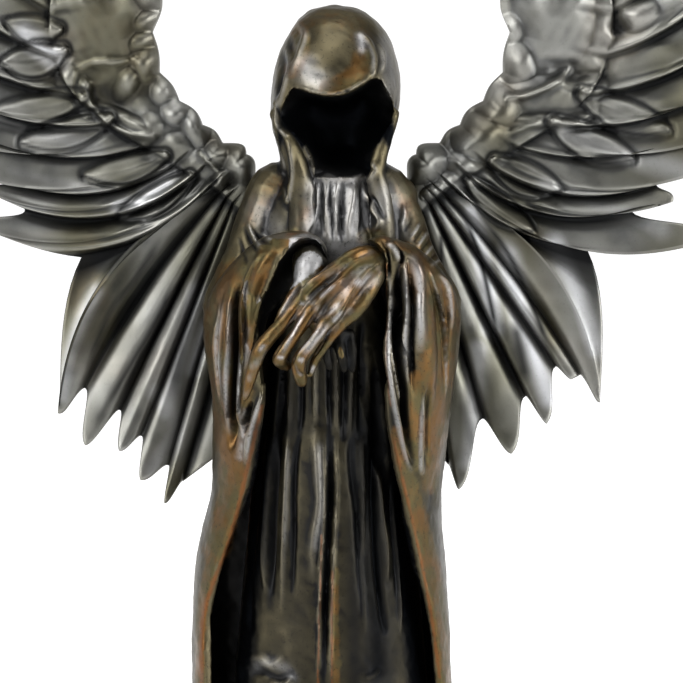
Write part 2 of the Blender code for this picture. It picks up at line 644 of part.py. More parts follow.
def wing_columns(feathers):
    """Each column across the fan: (place on the arm, crest from 1 to -1, spine function)."""
    columns = []
    for i, this in enumerate(feathers):
        last = i == len(feathers) - 1
        for step in (0.0, 0.5):
            if last and step:
                continue
            columns.append(column_between(feathers, i, i, step))
        if last:
            continue
        columns.append(column_between(feathers, i, i, 1.0))
        columns.append(column_between(feathers, i + 1, i, 0.5))
    return columns


def column_between(feathers, spine, valley, share):
    """A column this share of the way from a spine to the valley beside it, short of a straight line."""
    this, low, high = feathers[spine], feathers[valley], feathers[min(valley + 1, len(feathers) - 1)]
    valley_root = (low.root + high.root) / 2
    place = this.root + (valley_root - this.root) * share
    hollow = low.scoop * 4 * share * (1 - share)

    def point(arm_edge, t):
        reach = t * (1 - hollow * t)
        spine_point = along_feather(arm_edge(this.root), this.tip, this.bow, reach)
        valley_point = along_feather(arm_edge(valley_root), low.notch, low.fall, reach)
        return spine_point + (valley_point - spine_point) * share

    return place, 1 - 2 * share, point


def wing_depth(x, z):
    """How far behind the figure's middle the wing lies at this place."""
    reach = math.hypot(x - WING_ROOT[0], z - WING_ROOT[1]) / 100
    return WING_BACKSET + 5.0 * math.sin(min(reach, 1) * math.pi) - 5.0 * reach**2


def wing_sheet(name, feathers, group):
    """The left-hand wing of these feathers, as a sheet with a front and a back."""
    lengths = np.linspace(0, 1, len(ARM_INNER))
    inner = [(t, *p) for t, p in zip(lengths, ARM_INNER)]
    outer = [(t, *p) for t, p in zip(lengths, ARM_OUTER)]

    def outer_edge(place):
        return smooth(outer, place)[0]

    fronts, backs = [], []
    for place, crest, point in wing_columns(feathers):
        near, far = smooth(inner, place)[0], outer_edge(place)
        knuckle = 1 + 0.35 * math.sin(place * 58)
        ragged = COVERT_EDGE * (1 + 0.5 * math.sin(place * 44 + 1))
        bulge = float(np.interp(place, *zip(*ARM_BULGE))) * knuckle
        pleat = float(np.interp(place, *zip(*PLEATS)))
        rows = []
        for share in ARM_ROWS:
            spot = near + (far - near) * share
            swell = max(bulge * math.sin(math.pi * (share + 0.12) / 1.12), 0.0) ** 0.9 + ragged * share
            rows.append((spot, swell, WING_SHEET / 2 / WING_STEP, pleat * crest * 0.4 * share))
        for t in FEATHER_ROWS:
            half = np.interp(t, (0, 0.6, 1), (WING_SHEET, WING_SHEET, WING_TIP_SHEET)) / 2 / WING_STEP
            rows.append((point(outer_edge, t), 0.0, half, pleat * crest * math.sin(math.pi * (0.12 + 0.7 * t))))
        fronts.append([wing_point(*spot, -swell - half - fold) for spot, swell, half, fold in rows])
        backs.append([wing_point(*spot, 0.6 * swell + half - 0.8 * fold) for spot, swell, half, fold in rows])
    return mesh_object(name, stitched(fronts, backs), group)


def wing_point(x, z, forwards):
    """A point of a wing, in metres. The wing's own grid hangs from its root on the shoulder."""
    root = at(WING_ROOT[0], 0, WING_ROOT[1])
    y = WING_BACKSET * STEP + (wing_depth(x, z) - WING_BACKSET + forwards) * WING_STEP
    return (root.x + (x - WING_ROOT[0]) * WING_STEP, y, root.z + (z - WING_ROOT[1]) * WING_STEP)


def stitched(fronts, backs):
    """Two sheets of points, sewn together round their edge."""
    bm = bmesh.new()
    front = [[bm.verts.new(p) for p in column] for column in fronts]
    back = [[bm.verts.new(p) for p in column] for column in backs]
    wide, tall = len(front), len(front[0])
    for i in range(wide - 1):
        for j in range(tall - 1):
            bm.faces.new((front[i][j], front[i + 1][j], front[i + 1][j + 1], front[i][j + 1]))
            bm.faces.new((back[i][j + 1], back[i + 1][j + 1], back[i + 1][j], back[i][j]))
    edge = [(i, 0) for i in range(wide)]
    edge += [(wide - 1, j) for j in range(1, tall)]
    edge += [(i, tall - 1) for i in range(wide - 2, -1, -1)]
    edge += [(0, j) for j in range(tall - 2, 0, -1)]
    for (i, j), (k, m) in zip(edge, edge[1:] + edge[:1]):
        bm.faces.new((front[i][j], back[i][j], back[k][m], front[k][m]))
    return bm


def wing(name, tips, notches, side, body, work, group, finish):
    """A whole wing: the sheet, trimmed to the figure's back. side is -1 for the left."""
    feathers = lower_feathers(tips, notches) + upper_feathers(UPPER_COUNT)
    made = wing_sheet(name, feathers, work)
    if side > 0:
        made.data.transform(Matrix.Diagonal((-1, 1, 1, 1)))
        made.data.flip_normals()
    made = boolean(made, swollen(body, CLEARANCE, work), "DIFFERENCE")
    return adopt(mended(largest_body(made)), name, group, finish)


def swollen(body, grow, group):
    """A copy of a body that stands this much proud of it all over."""
    bm = bmesh.new()
    bm.from_mesh(body.data)
    bm.normal_update()
    moved = [vert.co + vert.normal * grow * 1.6 for vert in bm.verts]
    for vert, co in zip(bm.verts, moved):
        vert.co = co
    return mesh_object("swollen", bm, group)


def largest_body(obj):
    """Drops the crumbs that a cut leaves and keeps the biggest piece."""
    bm = bmesh.new()
    bm.from_mesh(obj.data)
    left = set(bm.verts)
    bodies = []
    while left:
        seed = left.pop()
        body, edge = {seed}, [seed]
        while edge:
            for link in edge.pop().link_edges:
                for vert in link.verts:
                    if vert in left:
                        left.discard(vert)
                        body.add(vert)
                        edge.append(vert)
        bodies.append(body)
    bodies.sort(key=len)
    crumbs = [vert for body in bodies[:-1] for vert in body]
    bmesh.ops.delete(bm, geom=crumbs, context="VERTS")
    bm.to_mesh(obj.data)
    bm.free()
    return obj


def plinth(group, finish):
    """The low round plinth, turned with a hollow moulding round its edge."""
    top = PLINTH_HEIGHT
    inset = PLINTH_RADIUS - PLINTH_MOULDING
    profile = [
        (0, top),
        (inset - PLINTH_MOULDING, top),
        (inset, top - 0.15 * top),
        (inset, top - 0.45 * top),
        (PLINTH_RADIUS, top - 0.62 * top),
        (PLINTH_RADIUS, 0.08 * top),
        (PLINTH_RADIUS - 0.08 * top, 0),
        (0, 0),
    ]
    mesh = bpy.data.meshes.new("plinth")
    mesh.from_pydata([(x, 0, z) for x, z in profile], [(i, i + 1) for i in range(len(profile) - 1)], [])
    obj = bpy.data.objects.new("plinth", mesh)
    group.objects.link(obj)
    turned = with_modifier(
        obj, "SCREW", steps=PLINTH_SIDES, render_steps=PLINTH_SIDES, use_merge_vertices=True, merge_threshold=0.00005
    )
    return adopt(turned, "plinth", group, finish)


def main():
    """Builds the four castings of the figurine."""
    clear_scene()
    part = collection("reaper_figurine")
    work = collection("clay")
    bronze = material("bronze_resin", BRONZE, 0.38, 0.6)
    gunmetal = material("gunmetal_resin", GUNMETAL, 0.36, 0.7)
    black = material("plinth_black", PLINTH_BLACK, 0.35, 0.1)
    plinth(part, black)
    body = figure(work, part, bronze)
    wing("wing_left", LEFT_TIPS, LEFT_NOTCHES, -1, body, work, part, gunmetal)
    wing("wing_right", RIGHT_TIPS, RIGHT_NOTCHES, 1, body, work, part, gunmetal)
    for obj in part.objects:
        if obj.name != "plinth":
            obj.data.transform(Matrix.Translation((0, 0, PLINTH_HEIGHT + CLEARANCE)))
    for leftover in list(work.objects):
        bpy.data.objects.remove(leftover, do_unlink=True)


main()
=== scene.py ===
"""Looks of the winged hooded figurine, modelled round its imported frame.

Each cast piece is modelled again at a finer grain than the frame's solid and stands for that solid. Forms
are drawn on the same grid as the solids: one step is a millimetre, x across, y back and z up from the
robe's hem, and the figure looks along -y.
"""

import logging
import math
from collections.abc import Callable
from dataclasses import dataclass, field
from enum import Enum

import bmesh
import bpy
import numpy as np
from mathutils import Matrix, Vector

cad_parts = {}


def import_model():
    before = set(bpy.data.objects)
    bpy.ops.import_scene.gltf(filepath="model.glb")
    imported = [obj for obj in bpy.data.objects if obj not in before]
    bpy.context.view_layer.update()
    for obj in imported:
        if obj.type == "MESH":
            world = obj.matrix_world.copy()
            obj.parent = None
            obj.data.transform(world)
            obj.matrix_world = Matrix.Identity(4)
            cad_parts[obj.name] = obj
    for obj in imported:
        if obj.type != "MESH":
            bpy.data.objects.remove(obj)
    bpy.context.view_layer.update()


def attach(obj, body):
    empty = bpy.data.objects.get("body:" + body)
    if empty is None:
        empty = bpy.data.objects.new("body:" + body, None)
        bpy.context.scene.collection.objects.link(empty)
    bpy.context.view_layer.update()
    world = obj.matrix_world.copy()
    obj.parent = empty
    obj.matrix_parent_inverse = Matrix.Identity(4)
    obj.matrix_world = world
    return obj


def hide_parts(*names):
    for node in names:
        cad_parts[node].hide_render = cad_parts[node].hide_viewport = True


LOG = logging.getLogger("figurine")

STEP = 0.001
CAMERA_DISTANCE = 1200
CAMERA_ELEVATION = 4.0
CAMERA_AIM = (2.9, 0, 152.1)
PLINTH_HEIGHT = 0.012
CLEARANCE = 0.0003
FOOT = PLINTH_HEIGHT + CLEARANCE

Row = tuple[float, ...]
Path = list[Row]


class Side(Enum):
    """Which of the figure's wings, as seen from the front."""

    LEFT = -1
    RIGHT = 1


class Ink(Enum):
    """What a patch of ink is called on the mesh: brown and rust are patina, black is stain and painted shade,
    silver is rubbed bare metal and painted highlight.
    """

    BROWN = "brown"
    RUST = "rust"
    BLACK = "black"
    SILVER = "silver"


# Forms that the solids have too: the robe, the cloak, the hood, the arms and the hands

ROBE = [
    # height, half width, reach forwards, reach backwards
    (-4, 34, 27, 27),
    (8, 32, 25.5, 26),
    (30, 29, 23, 25),
    (56, 27, 21.5, 24),
    (90, 24, 19.5, 22),
    (120, 21.5, 17.5, 20),
    (150, 20, 15.5, 18),
    (166, 20, 15, 17),
    (180, 21, 14.5, 16.5),
    (190, 19, 13.5, 15.5),
    (198, 14, 12.5, 14),
    (204, 10, 9, 12),
    (212, 8, 7, 10),
]
CLOAK = [
    # height, left, right, forwards, backwards, left edge, right edge
    (-4, 41.5, 38.5, 29, 31, -35, 33),
    (12, 40, 36, 28, 29, -35, 32),
    (34, 39.2, 34.6, 27, 27, -35, 31.5),
    (56, 39.2, 33.9, 26.5, 25, -35, 31),
    (76, 39.0, 33.1, 26.5, 24, -35.2, 28.6),
    (90, 38.1, 32.1, 26.5, 23, -32, 25.2),
    (100, 36.0, 31.2, 26.5, 22.5, -28.6, 23),
    (109, 33.8, 31.0, 26.5, 22, -25.4, 20.8),
    (122, 33.3, 32.2, 26.5, 21.5, -22, 17.6),
    (136, 33.3, 34.0, 26.5, 21, -19.3, 15.6),
    (152, 35.6, 35.8, 26, 20, -18.5, 16),
    (161, 35.2, 36.0, 24, 18, -18.0, 16),
    (169, 31.0, 32.5, 20, 15, -17.5, 16),
]
HOOD = [
    # height, left, right, forwards, backwards
    (176, 9, 11, 9, 13),
    (186, 10.5, 12.5, 11, 14),
    (194, 12.2, 14.0, 12.5, 15.0),
    (201, 13.9, 15.2, 14, 16.2),
    (206, 14.8, 16.0, 15.5, 17.0),
    (211.5, 16.3, 16.9, 18, 17.8),
    (217, 16.8, 18.8, 21, 18.4),
    (222, 16.6, 19.3, 23, 18.6),
    (228, 15.8, 18.9, 21.5, 18.0),
    (234, 13.9, 17.4, 18.5, 16.4),
    (239, 11.2, 14.8, 14.5, 13.6),
    (243, 8.0, 10.9, 9.8, 10.0),
    (245.4, 3.6, 5.8, 4.6, 5.0),
    (246, 0.6, 1.8, 1.2, 1.2),
]
HOOD_MOUTH = [
    # the opening of the hood as the camera sees it
    (-10.6, 223.0), (-8.0, 222.2), (-5.0, 221.2), (-2.0, 220.6), (1.0, 220.5), (4.0, 221.2), (6.5, 222.4),
    (9.0, 223.9), (11.0, 225.3), (12.6, 225.8), (14.2, 225.2), (15.0, 223.6), (16.6, 220.8), (18.2, 218.8),
    (18.0, 216.6), (16.9, 213.6), (15.3, 211.0), (13.2, 208.2), (11.8, 205.0), (11.2, 202.2), (12.4, 199.8),
    (10.4, 198.0), (3.0, 198.0), (-4.8, 198.0), (-5.0, 200.2), (-6.2, 203.6), (-8.0, 207.0), (-10.0, 210.2),
    (-12.0, 212.4), (-13.9, 214.6), (-14.0, 217.2), (-12.8, 220.0), (-11.8, 221.8),
]
HOOD_MOUTH_CENTRE = (1.4, 211)
HOOD_DEPTHS = [(-34, 1.0), (-12, 0.99), (-5, 0.86), (2, 0.68), (7, 0.40)]

LIMBS = {
    "left_arm": [(-14.5, 3, 193, 9.4), (-18.5, 2, 184, 8.8), (-22, 0, 174, 8.6), (-27.5, -2, 162, 8.6)],
    "right_arm": [(14.0, 3, 193, 9.0), (18.2, 2, 184, 8.4), (21.8, 0, 174, 8.2), (28.2, -2, 163, 8.4)],
    "left_sleeve": [(-28.0, -3, 159, 8.0), (-23.5, -11, 166, 8.6), (-16.5, -17.5, 173.6, 8.6),
                    (-11.5, -20, 176.2, 7.7),
                    (-8.2, -20.5, 177.0, 7.3)],
    "right_sleeve": [(28.5, -3, 160, 8.0), (24.5, -11, 167.3, 8.4), (19.5, -17.5, 172.6, 8.0),
                     (15.8, -19.5, 175.2, 7.1),
                     (14.0, -20.5, 176.4, 6.5)],
    "left_drape": [(-22.0, -15.0, 169, 7.4), (-24.0, -16.6, 160, 6.6), (-25.4, -16.0, 149, 5.8),
                   (-26.0, -13.0, 136, 4.6)],
    "right_drape": [(20.5, -16.0, 169, 7.2), (22.6, -16.8, 160, 6.4), (23.8, -16.2, 149, 5.6),
                    (24.4, -13.0, 136, 4.4)],
    "left_lapel": [(-15.5, -10, 216, 1.7), (-12.4, -13.2, 209, 2.4), (-9.2, -13.6, 201, 3.0),
                   (-8.4, -13.2, 192, 3.2), (-8.6, -13.2, 183, 3.2), (-10, -12.6, 174, 3.0)],
    "right_lapel": [(17.6, -9, 216, 1.6), (14.6, -12.2, 208, 2.2), (12.4, -12.8, 200, 2.6),
                    (14.0, -12.6, 192, 3.0), (14.6, -12.6, 183, 3.2), (15, -12, 174, 3.0)],
}
BALLS = {
    "left_shoulder": ((-12, 4, 192), (12.5, 10.5, 8.5)),
    "right_shoulder": ((12.5, 4, 192), (12.0, 10.5, 8.5)),
    "upper_back": ((0, 8, 186), (19, 10.5, 17)),
}
SLEEVE_HOLLOWS = [
    [(-5.0, -20, 171.0, 3.4), (-9.4, -19, 167, 4.6), (-12.4, -17.0, 156, 4.8),
     (-13.8, -15.5, 143, 4.2), (-16.2, -14.5, 128, 3.6), (-19.0, -14, 114, 2.6), (-21.5, -13.5, 101, 1.2)],
    [(9.0, -21.0, 171.0, 3.4), (11.4, -19, 165, 4.2), (11.8, -17.5, 154, 4.4),
     (12.1, -15.5, 142, 4.0), (13.6, -14.5, 128, 3.4), (16.0, -14, 114, 2.4), (18.2, -13.5, 101, 1.2)],
]
CUFF_MOUTHS = [
    # the openings of the sleeves as the camera sees them
    [(-12.3, 177.4), (-10.8, 179.4), (-8.8, 180.7), (-6.4, 181.1), (-4.2, 180.6), (-2.8, 179.2),
     (-1.6, 176.5),
     (0.5, 172), (2, 166), (2, 150), (-14, 140), (-19.5, 140), (-20.2, 146), (-20.6, 152), (-20.2, 158),
     (-19.2, 163), (-17.8, 167.5), (-16.2, 171), (-14.4, 174.6)],
    [(7.0, 178.6), (7.8, 180.0), (9.5, 180.7), (11.5, 180.4), (13.3, 179.2), (14.6, 177.4), (15.2, 175.2),
     (15.3, 170), (15.3, 160), (15.2, 148), (16, 140), (8, 140), (4, 150), (4, 166), (5, 173)],
]
CUFF_DEPTHS = [(-44, 1.0), (-22, 1.0), (-18, 0.96), (-16.2, 0.9)]
UPPER_HAND = [
    [(15.0, -17, 174.6, 4.0), (10.5, -22.8, 173.0, 4.8), (6.0, -25.6, 169.3, 4.9), (1.0, -27.2, 164.0, 4.6),
     (-2.5, -28.2, 160.6, 3.4)],
    [(8.0, -24.0, 168.0, 4.6), (3.0, -27.0, 162.2, 4.2), (0.4, -28.4, 159.4, 2.8)],
    [(-6.6, -28.6, 162.4, 2.0), (-2.6, -28.8, 158.6, 2.2), (1.6, -28.4, 157.0, 2.2)],
    [(13.6, -19.5, 176.4, 2.2), (7.6, -25.2, 176.8, 2.0), (0.5, -27.8, 172.2, 1.9),
     (-7.9, -29.2, 164.2, 2.2)],
    [(13.6, -21.6, 175.0, 1.8), (8.0, -27.2, 173.6, 1.7), (2.0, -29.4, 168.6, 1.7),
     (-5.2, -30.6, 161.2, 2.2)],
    [(14.4, -21.6, 173.6, 2.1), (10.0, -27.2, 171.6, 2.0), (6.5, -29.4, 167.6, 2.0),
     (1.5, -30.6, 160.6, 2.0), (-1.3, -31.0, 157.6, 2.3)],
    [(12.6, -24, 170.6, 2.6), (9.5, -26.5, 165.0, 2.6), (6.0, -28, 160.4, 2.5), (2.8, -28.8, 157.6, 2.0)],
    [(-7.9, -29.4, 164.0, 2.4), (-13.5, -30.6, 157.3, 2.0), (-19.2, -30.4, 150.8, 2.1),
     (-21.3, -29.6, 146.0, 1.9),
     (-22.8, -28.8, 141.0, 1.6), (-24.0, -27.4, 136.2, 0.9)],
    [(-5.2, -30.8, 161.2, 2.3), (-9.6, -32.0, 154.6, 1.7), (-14.2, -31.6, 148.0, 2.0),
     (-13.8, -29.6, 146.2, 1.8),
     (-12.4, -28.0, 145.2, 1.4)],
    [(-1.3, -31.2, 157.6, 2.3), (-4.8, -32.6, 152.2, 1.8), (-8.6, -32.2, 147.3, 2.1),
     (-9.0, -31.0, 144.2, 2.0),
     (-8.3, -28.8, 140.8, 1.6)],
    [(2.8, -29.0, 157.2, 2.0), (-1.0, -29.6, 152.4, 1.6), (-4.4, -29.2, 147.0, 1.3),
     (-5.9, -28.4, 142.8, 0.9)],
]
LOWER_HAND = [
    [(-6.4, -13, 173.8, 4.4), (-6.0, -19.4, 174.6, 4.9), (-6.0, -22.2, 170.0, 4.6), (-5.2, -23.6, 163.0, 4.2),
     (-1.5, -24.4, 156.0, 3.8), (2.0, -24.4, 153.5, 3.6)],
    [(-8.4, -24.4, 168.6, 2.0), (-11.3, -26.6, 164.0, 1.5), (-13.6, -27.2, 160.2, 1.3),
     (-15.2, -26.6, 157.6, 0.9)],
    [(-2.4, -25.4, 154.0, 1.9), (-1.4, -27.2, 148.8, 1.4), (-0.4, -26.4, 144.8, 1.0)],
    [(1.6, -25.8, 154.0, 1.9), (2.8, -27.4, 148.6, 1.5), (3.7, -26.2, 144.4, 1.1)],
    [(5.0, -24.8, 154.0, 1.8), (5.9, -26.0, 148.6, 1.4), (5.9, -24.8, 144.2, 1.0)],
]

# Folds and creases: width, height (below nought for a groove), and the line as seen from the front

LEFT_SLEEVE = [
    (1.0, 0.9, [(-30.5, 163.9), (-31.5, 156.7), (-32.1, 150.7), (-31.5, 142.7), (-30.7, 134.7)]),
    (0.7, -0.8, [(-29.6, 163.1), (-30.3, 152.7), (-30.9, 144.7), (-30.3, 136.7), (-29.1, 127.9)]),
    (0.9, 1.2, [(-28.4, 164.7), (-28.5, 156.7), (-28.6, 150.7), (-29.6, 141.5), (-29.2, 132.7),
                (-28.3, 125.5)]),
    (1.1, -2.6, [(-24.3, 169.3), (-26.5, 165.5), (-27.2, 160.7), (-27.1, 154.7), (-26.6, 148.7),
                 (-27.2, 140.7),
                  (-27.6, 132.7), (-27.6, 126.7), (-28.0, 121.1)]),
    (0.9, 1.4, [(-19.3, 177.5), (-22.7, 171.1), (-24.2, 165.5), (-24.8, 158.7), (-25.0, 150.7),
                (-25.9, 141.5),
                  (-26.1, 134.7), (-24.9, 128.7), (-24.3, 124.7)]),
    (0.6, -1.0, [(-20.9, 174.7), (-23.4, 168.7), (-24.3, 162.3), (-24.3, 154.3), (-24.6, 148.7)]),
    (1.9, 1.0, [(-15.7, 178.7), (-19.3, 172.7), (-21.7, 166.3), (-22.7, 159.1), (-23.6, 150.7),
                (-24.7, 142.7)]),
    (0.7, 1.0, [(-14.5, 175.5), (-18.1, 167.9), (-20.5, 162.7), (-21.8, 157.9), (-22.7, 152.7),
                (-23.7, 144.7)]),
    (0.8, -1.4, [(-22.5, 135.5), (-23.5, 131.9), (-24.2, 128.3)]),
    (0.8, 1.1, [(-19.3, 137.9), (-21.3, 131.5), (-23.1, 124.7), (-24.1, 117.5)]),
    (0.6, -0.8, [(-20.5, 136.7), (-22.3, 131.1), (-24.0, 125.5)]),
]
RIGHT_SLEEVE = [
    (0.9, 0.9, [(15.3, 179.9), (17.9, 177.9), (19.3, 174.3)]),
    (0.6, -0.9, [(14.3, 180.7), (15.9, 177.5), (16.3, 173.5), (16.0, 168.7)]),
    (0.6, -0.9, [(17.1, 180.3), (19.7, 176.7), (19.9, 173.1)]),
    (0.9, 1.3, [(20.7, 175.9), (20.8, 168.7), (21.3, 160.7), (20.7, 152.7), (20.8, 146.7), (21.3, 139.9)]),
    (1.3, -2.6, [(19.6, 175.1), (18.7, 168.7), (18.4, 162.3), (18.1, 156.7), (18.3, 150.3), (19.3, 144.7),
                  (20.4, 138.3), (20.8, 130.7), (21.9, 122.7), (22.9, 117.5)]),
    (0.9, 1.1, [(16.0, 171.9), (16.8, 164.7), (16.5, 156.7), (16.0, 148.7), (17.0, 138.7), (18.4, 130.7),
                  (20.7, 120.7), (22.7, 115.1)]),
    (0.35, 0.5, [(17.3, 159.1), (17.1, 149.5), (18.7, 139.5), (20.2, 133.1)]),
    (1.7, 1.2, [(21.9, 176.7), (24.0, 172.7), (24.8, 167.9), (24.8, 160.7), (25.1, 155.1), (24.7, 148.7)]),
    (0.7, -0.8, [(21.4, 175.5), (22.3, 168.7), (22.9, 160.7), (22.5, 152.7), (22.7, 144.7), (22.9, 136.7)]),
    (0.4, 0.8, [(27.3, 173.1), (29.7, 165.5), (31.3, 158.3), (32.0, 150.3), (32.2, 142.3), (32.0, 135.9)]),
    (0.5, -0.6, [(26.7, 171.9), (29.1, 164.7), (30.6, 157.5), (31.4, 149.9), (31.5, 142.3)]),
    (0.8, 0.8, [(29.9, 171.5), (32.7, 167.5), (33.6, 161.5), (33.7, 155.1)]),
    (0.6, -0.7, [(30.9, 167.9), (32.4, 162.3), (32.9, 154.3), (32.8, 146.3)]),
    (0.6, -0.7, [(34.9, 144.7), (33.9, 136.7), (32.9, 128.7)]),
    (0.8, 0.8, [(25.9, 137.5), (25.3, 128.7), (25.1, 118.7), (25.5, 114.7)]),
    (0.8, -0.8, [(27.5, 140.7), (26.7, 130.7), (26.7, 116.7)]),
]
ROBE_FRONT = [
    (0.55, 0.9, [(-2.1, 127.3), (-1.8, 118.9), (-1.6, 109.6), (-2.1, 98.4), (-3.0, 89.0), (-3.4, 77.8),
                  (-3.5, 66.2), (-4.1, 56.5)]),
    (0.75, -1.6, [(-0.4, 127.3), (-0.2, 118.9), (-0.2, 109.6), (-0.7, 98.4), (-1.1, 89.0), (-1.7, 77.8),
                  (-1.8, 66.2), (-2.1, 56.5)]),
    (0.55, 0.9, [(1.4, 127.3), (1.4, 118.9), (1.6, 109.6), (1.1, 98.4), (0.6, 89.0), (0.1, 77.8), (0.0, 66.2),
                  (-0.2, 56.5)]),
    (1.5, 1.2, [(-4.5, 129.2), (-4.2, 121.7), (-3.8, 115.2), (-3.6, 105.8), (-5.2, 94.6), (-4.8, 84.0)]),
    (0.9, -1.3, [(-8.7, 127.3), (-10.1, 118.9), (-10.5, 110.5), (-10.5, 102.1), (-10.7, 92.0),
                 (-10.8, 80.0)]),
    (1.1, 1.2, [(-11.9, 129.2), (-12.3, 119.8), (-12.6, 111.4), (-12.9, 103.0), (-13.5, 90.0),
                (-13.8, 76.0)]),
    (1.1, -2.2, [(-14.7, 127.3), (-15.4, 118.9), (-16.1, 109.6), (-16.6, 100.2), (-16.8, 89.0),
                 (-16.8, 79.7)]),
    (0.8, 1.4, [(-17.5, 127.3), (-17.6, 117.5), (-17.9, 109.6), (-18.5, 100.2), (-18.9, 90.0),
                (-18.5, 81.6)]),
    (1.1, -2.0, [(-19.9, 124.5), (-20.3, 114.2), (-21.5, 104.9), (-22.4, 95.6), (-23.4, 86.2), (-23.2, 76.9),
                  (-22.3, 69.9)]),
    (0.8, 1.2, [(-20.8, 118.0), (-22.2, 109.1), (-22.9, 100.2), (-24.5, 86.2), (-25.7, 75.0), (-26.0, 63.8)]),
    (0.7, -0.8, [(-22.4, 111.9), (-24.1, 105.8), (-25.5, 98.4)]),
    (1.2, -1.6, [(5.8, 127.3), (5.8, 117.5), (7.2, 105.8), (7.9, 95.6), (8.6, 84.4), (9.5, 74.1)]),
    (0.8, 1.3, [(8.5, 127.3), (8.7, 118.9), (8.8, 109.6), (8.7, 100.2), (8.5, 90.0), (9.3, 77.8),
                (9.5, 70.4)]),
    (1.1, -2.0, [(11.6, 124.5), (11.9, 117.0), (11.9, 107.7), (12.3, 98.4), (13.0, 87.2), (14.4, 75.5),
                  (15.1, 69.4)]),
    (0.9, 1.4, [(12.8, 118.4), (13.5, 109.6), (14.2, 102.1), (15.4, 93.7), (15.8, 84.4)]),
    (0.9, -1.2, [(16.8, 118.9), (16.8, 107.7), (17.5, 98.4), (18.4, 89.0), (19.1, 79.7)]),
    (0.6, 0.9, [(17.5, 108.6), (18.0, 98.4), (18.8, 89.0), (19.3, 77.8), (19.4, 69.4)]),
    (1.6, 0.9, [(-25.5, 62.0), (-20.8, 63.4), (-16.6, 61.5), (-12.9, 63.8)]),
    (1.1, -0.5, [(-23.1, 58.2), (-18.9, 59.6), (-14.7, 58.0), (-10.0, 60.4)]),
    (1.2, 1.0, [(-26.4, 63.4), (-25.4, 60.0), (-25.5, 54.5)]),
    (1.2, 1.0, [(-17.4, 57.0), (-13.4, 56.0), (-10.4, 57.6)]),
    (0.7, 0.8, [(9.5, 57.8), (11.9, 58.7), (13.7, 60.6)]),
    (0.6, -0.7, [(-30.1, 58.2), (-28.3, 61.0), (-26.9, 58.2)]),
]
CHEST = [
    (0.5, 0.7, [(-4.2, 197.7), (-3.7, 192.5), (-4.5, 186.9), (-5.5, 182.1)]),
    (0.6, -0.9, [(-3.1, 197.7), (-2.5, 192.5), (-2.7, 186.9), (-2.5, 181.7)]),
    (0.6, 0.8, [(-1.3, 196.5), (-1.7, 190.9), (-1.3, 185.3), (-0.9, 179.7)]),
    (0.5, -0.8, [(-0.1, 197.7), (-0.3, 191.7), (0.3, 185.3), (0.5, 179.7)]),
    (0.5, 0.7, [(1.7, 197.3), (1.1, 191.7), (1.5, 185.3), (1.5, 179.7)]),
    (0.8, -1.2, [(3.7, 197.7), (3.1, 191.7), (2.7, 185.3), (2.9, 179.7)]),
    (1.0, 0.9, [(6.3, 197.3), (5.9, 191.7), (4.7, 185.3), (4.7, 179.7)]),
    (0.5, -0.7, [(8.3, 197.7), (8.5, 191.7), (8.5, 185.3), (7.5, 181.3)]),
    (0.5, 0.8, [(9.1, 194.9), (10.3, 190.1), (11.1, 185.3), (10.7, 182.1)]),
    (0.5, -0.7, [(9.5, 191.7), (9.1, 187.7), (9.5, 182.9)]),
]
HOOD_FOLDS = [
    (0.42, 0.7, [(-10.8, 224.0), (-8.0, 223.2), (-5.0, 222.2), (-2.0, 221.6), (1.0, 221.5), (4.0, 222.2),
                  (6.5, 223.4), (9.0, 224.9), (11.0, 226.3)]),
    (1.0, 0.9, [(-9.7, 241.7), (-7.3, 238.1), (-8.9, 232.5), (-10.8, 228.9), (-11.3, 224.5)]),
    (1.4, -0.6, [(-11.7, 237.7), (-11.3, 233.7), (-11.9, 229.3), (-12.2, 225.3)]),
    (0.8, 0.9, [(-12.7, 234.9), (-11.9, 230.5), (-12.7, 225.3), (-14.3, 219.7), (-14.7, 216.5)]),
    (1.0, -0.9, [(-13.7, 234.1), (-13.7, 229.3), (-14.5, 223.7), (-15.3, 219.7)]),
    (0.8, 1.1, [(7.9, 238.9), (10.3, 235.7), (11.9, 231.7), (11.8, 227.7), (11.3, 225.9)]),
    (1.4, -0.4, [(8.3, 234.5), (9.5, 230.9), (9.5, 227.7)]),
    (3.4, -0.25, [(-4.5, 233.3), (-5.3, 229.7), (-6.1, 225.3)]),
    (2.6, -0.2, [(1.1, 234.5), (1.9, 230.9), (0.3, 226.1)]),
    (0.6, 0.6, [(13.1, 235.7), (14.7, 231.7), (14.3, 226.9)]),
    (0.7, 1.0, [(-15.7, 224.1), (-15.3, 218.9), (-15.3, 213.3), (-13.3, 210.1), (-11.7, 209.7)]),
    (0.8, 0.8, [(-16.5, 213.7), (-15.7, 207.7), (-13.7, 202.9), (-13.3, 198.1)]),
    (1.0, -1.0, [(-14.7, 211.7), (-13.7, 206.9), (-12.3, 201.7), (-11.7, 195.7)]),
    (0.7, 0.9, [(-12.1, 209.3), (-11.3, 203.7), (-10.9, 198.1), (-12.1, 191.7), (-13.3, 195.7)]),
    (0.6, 1.0, [(-9.3, 210.5), (-7.3, 206.5), (-5.3, 201.7), (-5.3, 197.3), (-6.1, 191.7), (-5.3, 186.1),
                  (-7.3, 182.1)]),
    (0.7, 1.0, [(10.9, 202.5), (12.3, 200.1), (10.1, 196.1)]),
    (0.8, 1.0, [(9.5, 194.1), (11.1, 190.1), (13.5, 185.7), (11.1, 182.1)]),
    (0.7, -0.8, [(10.7, 193.3), (12.7, 190.1), (14.7, 186.1)]),
]
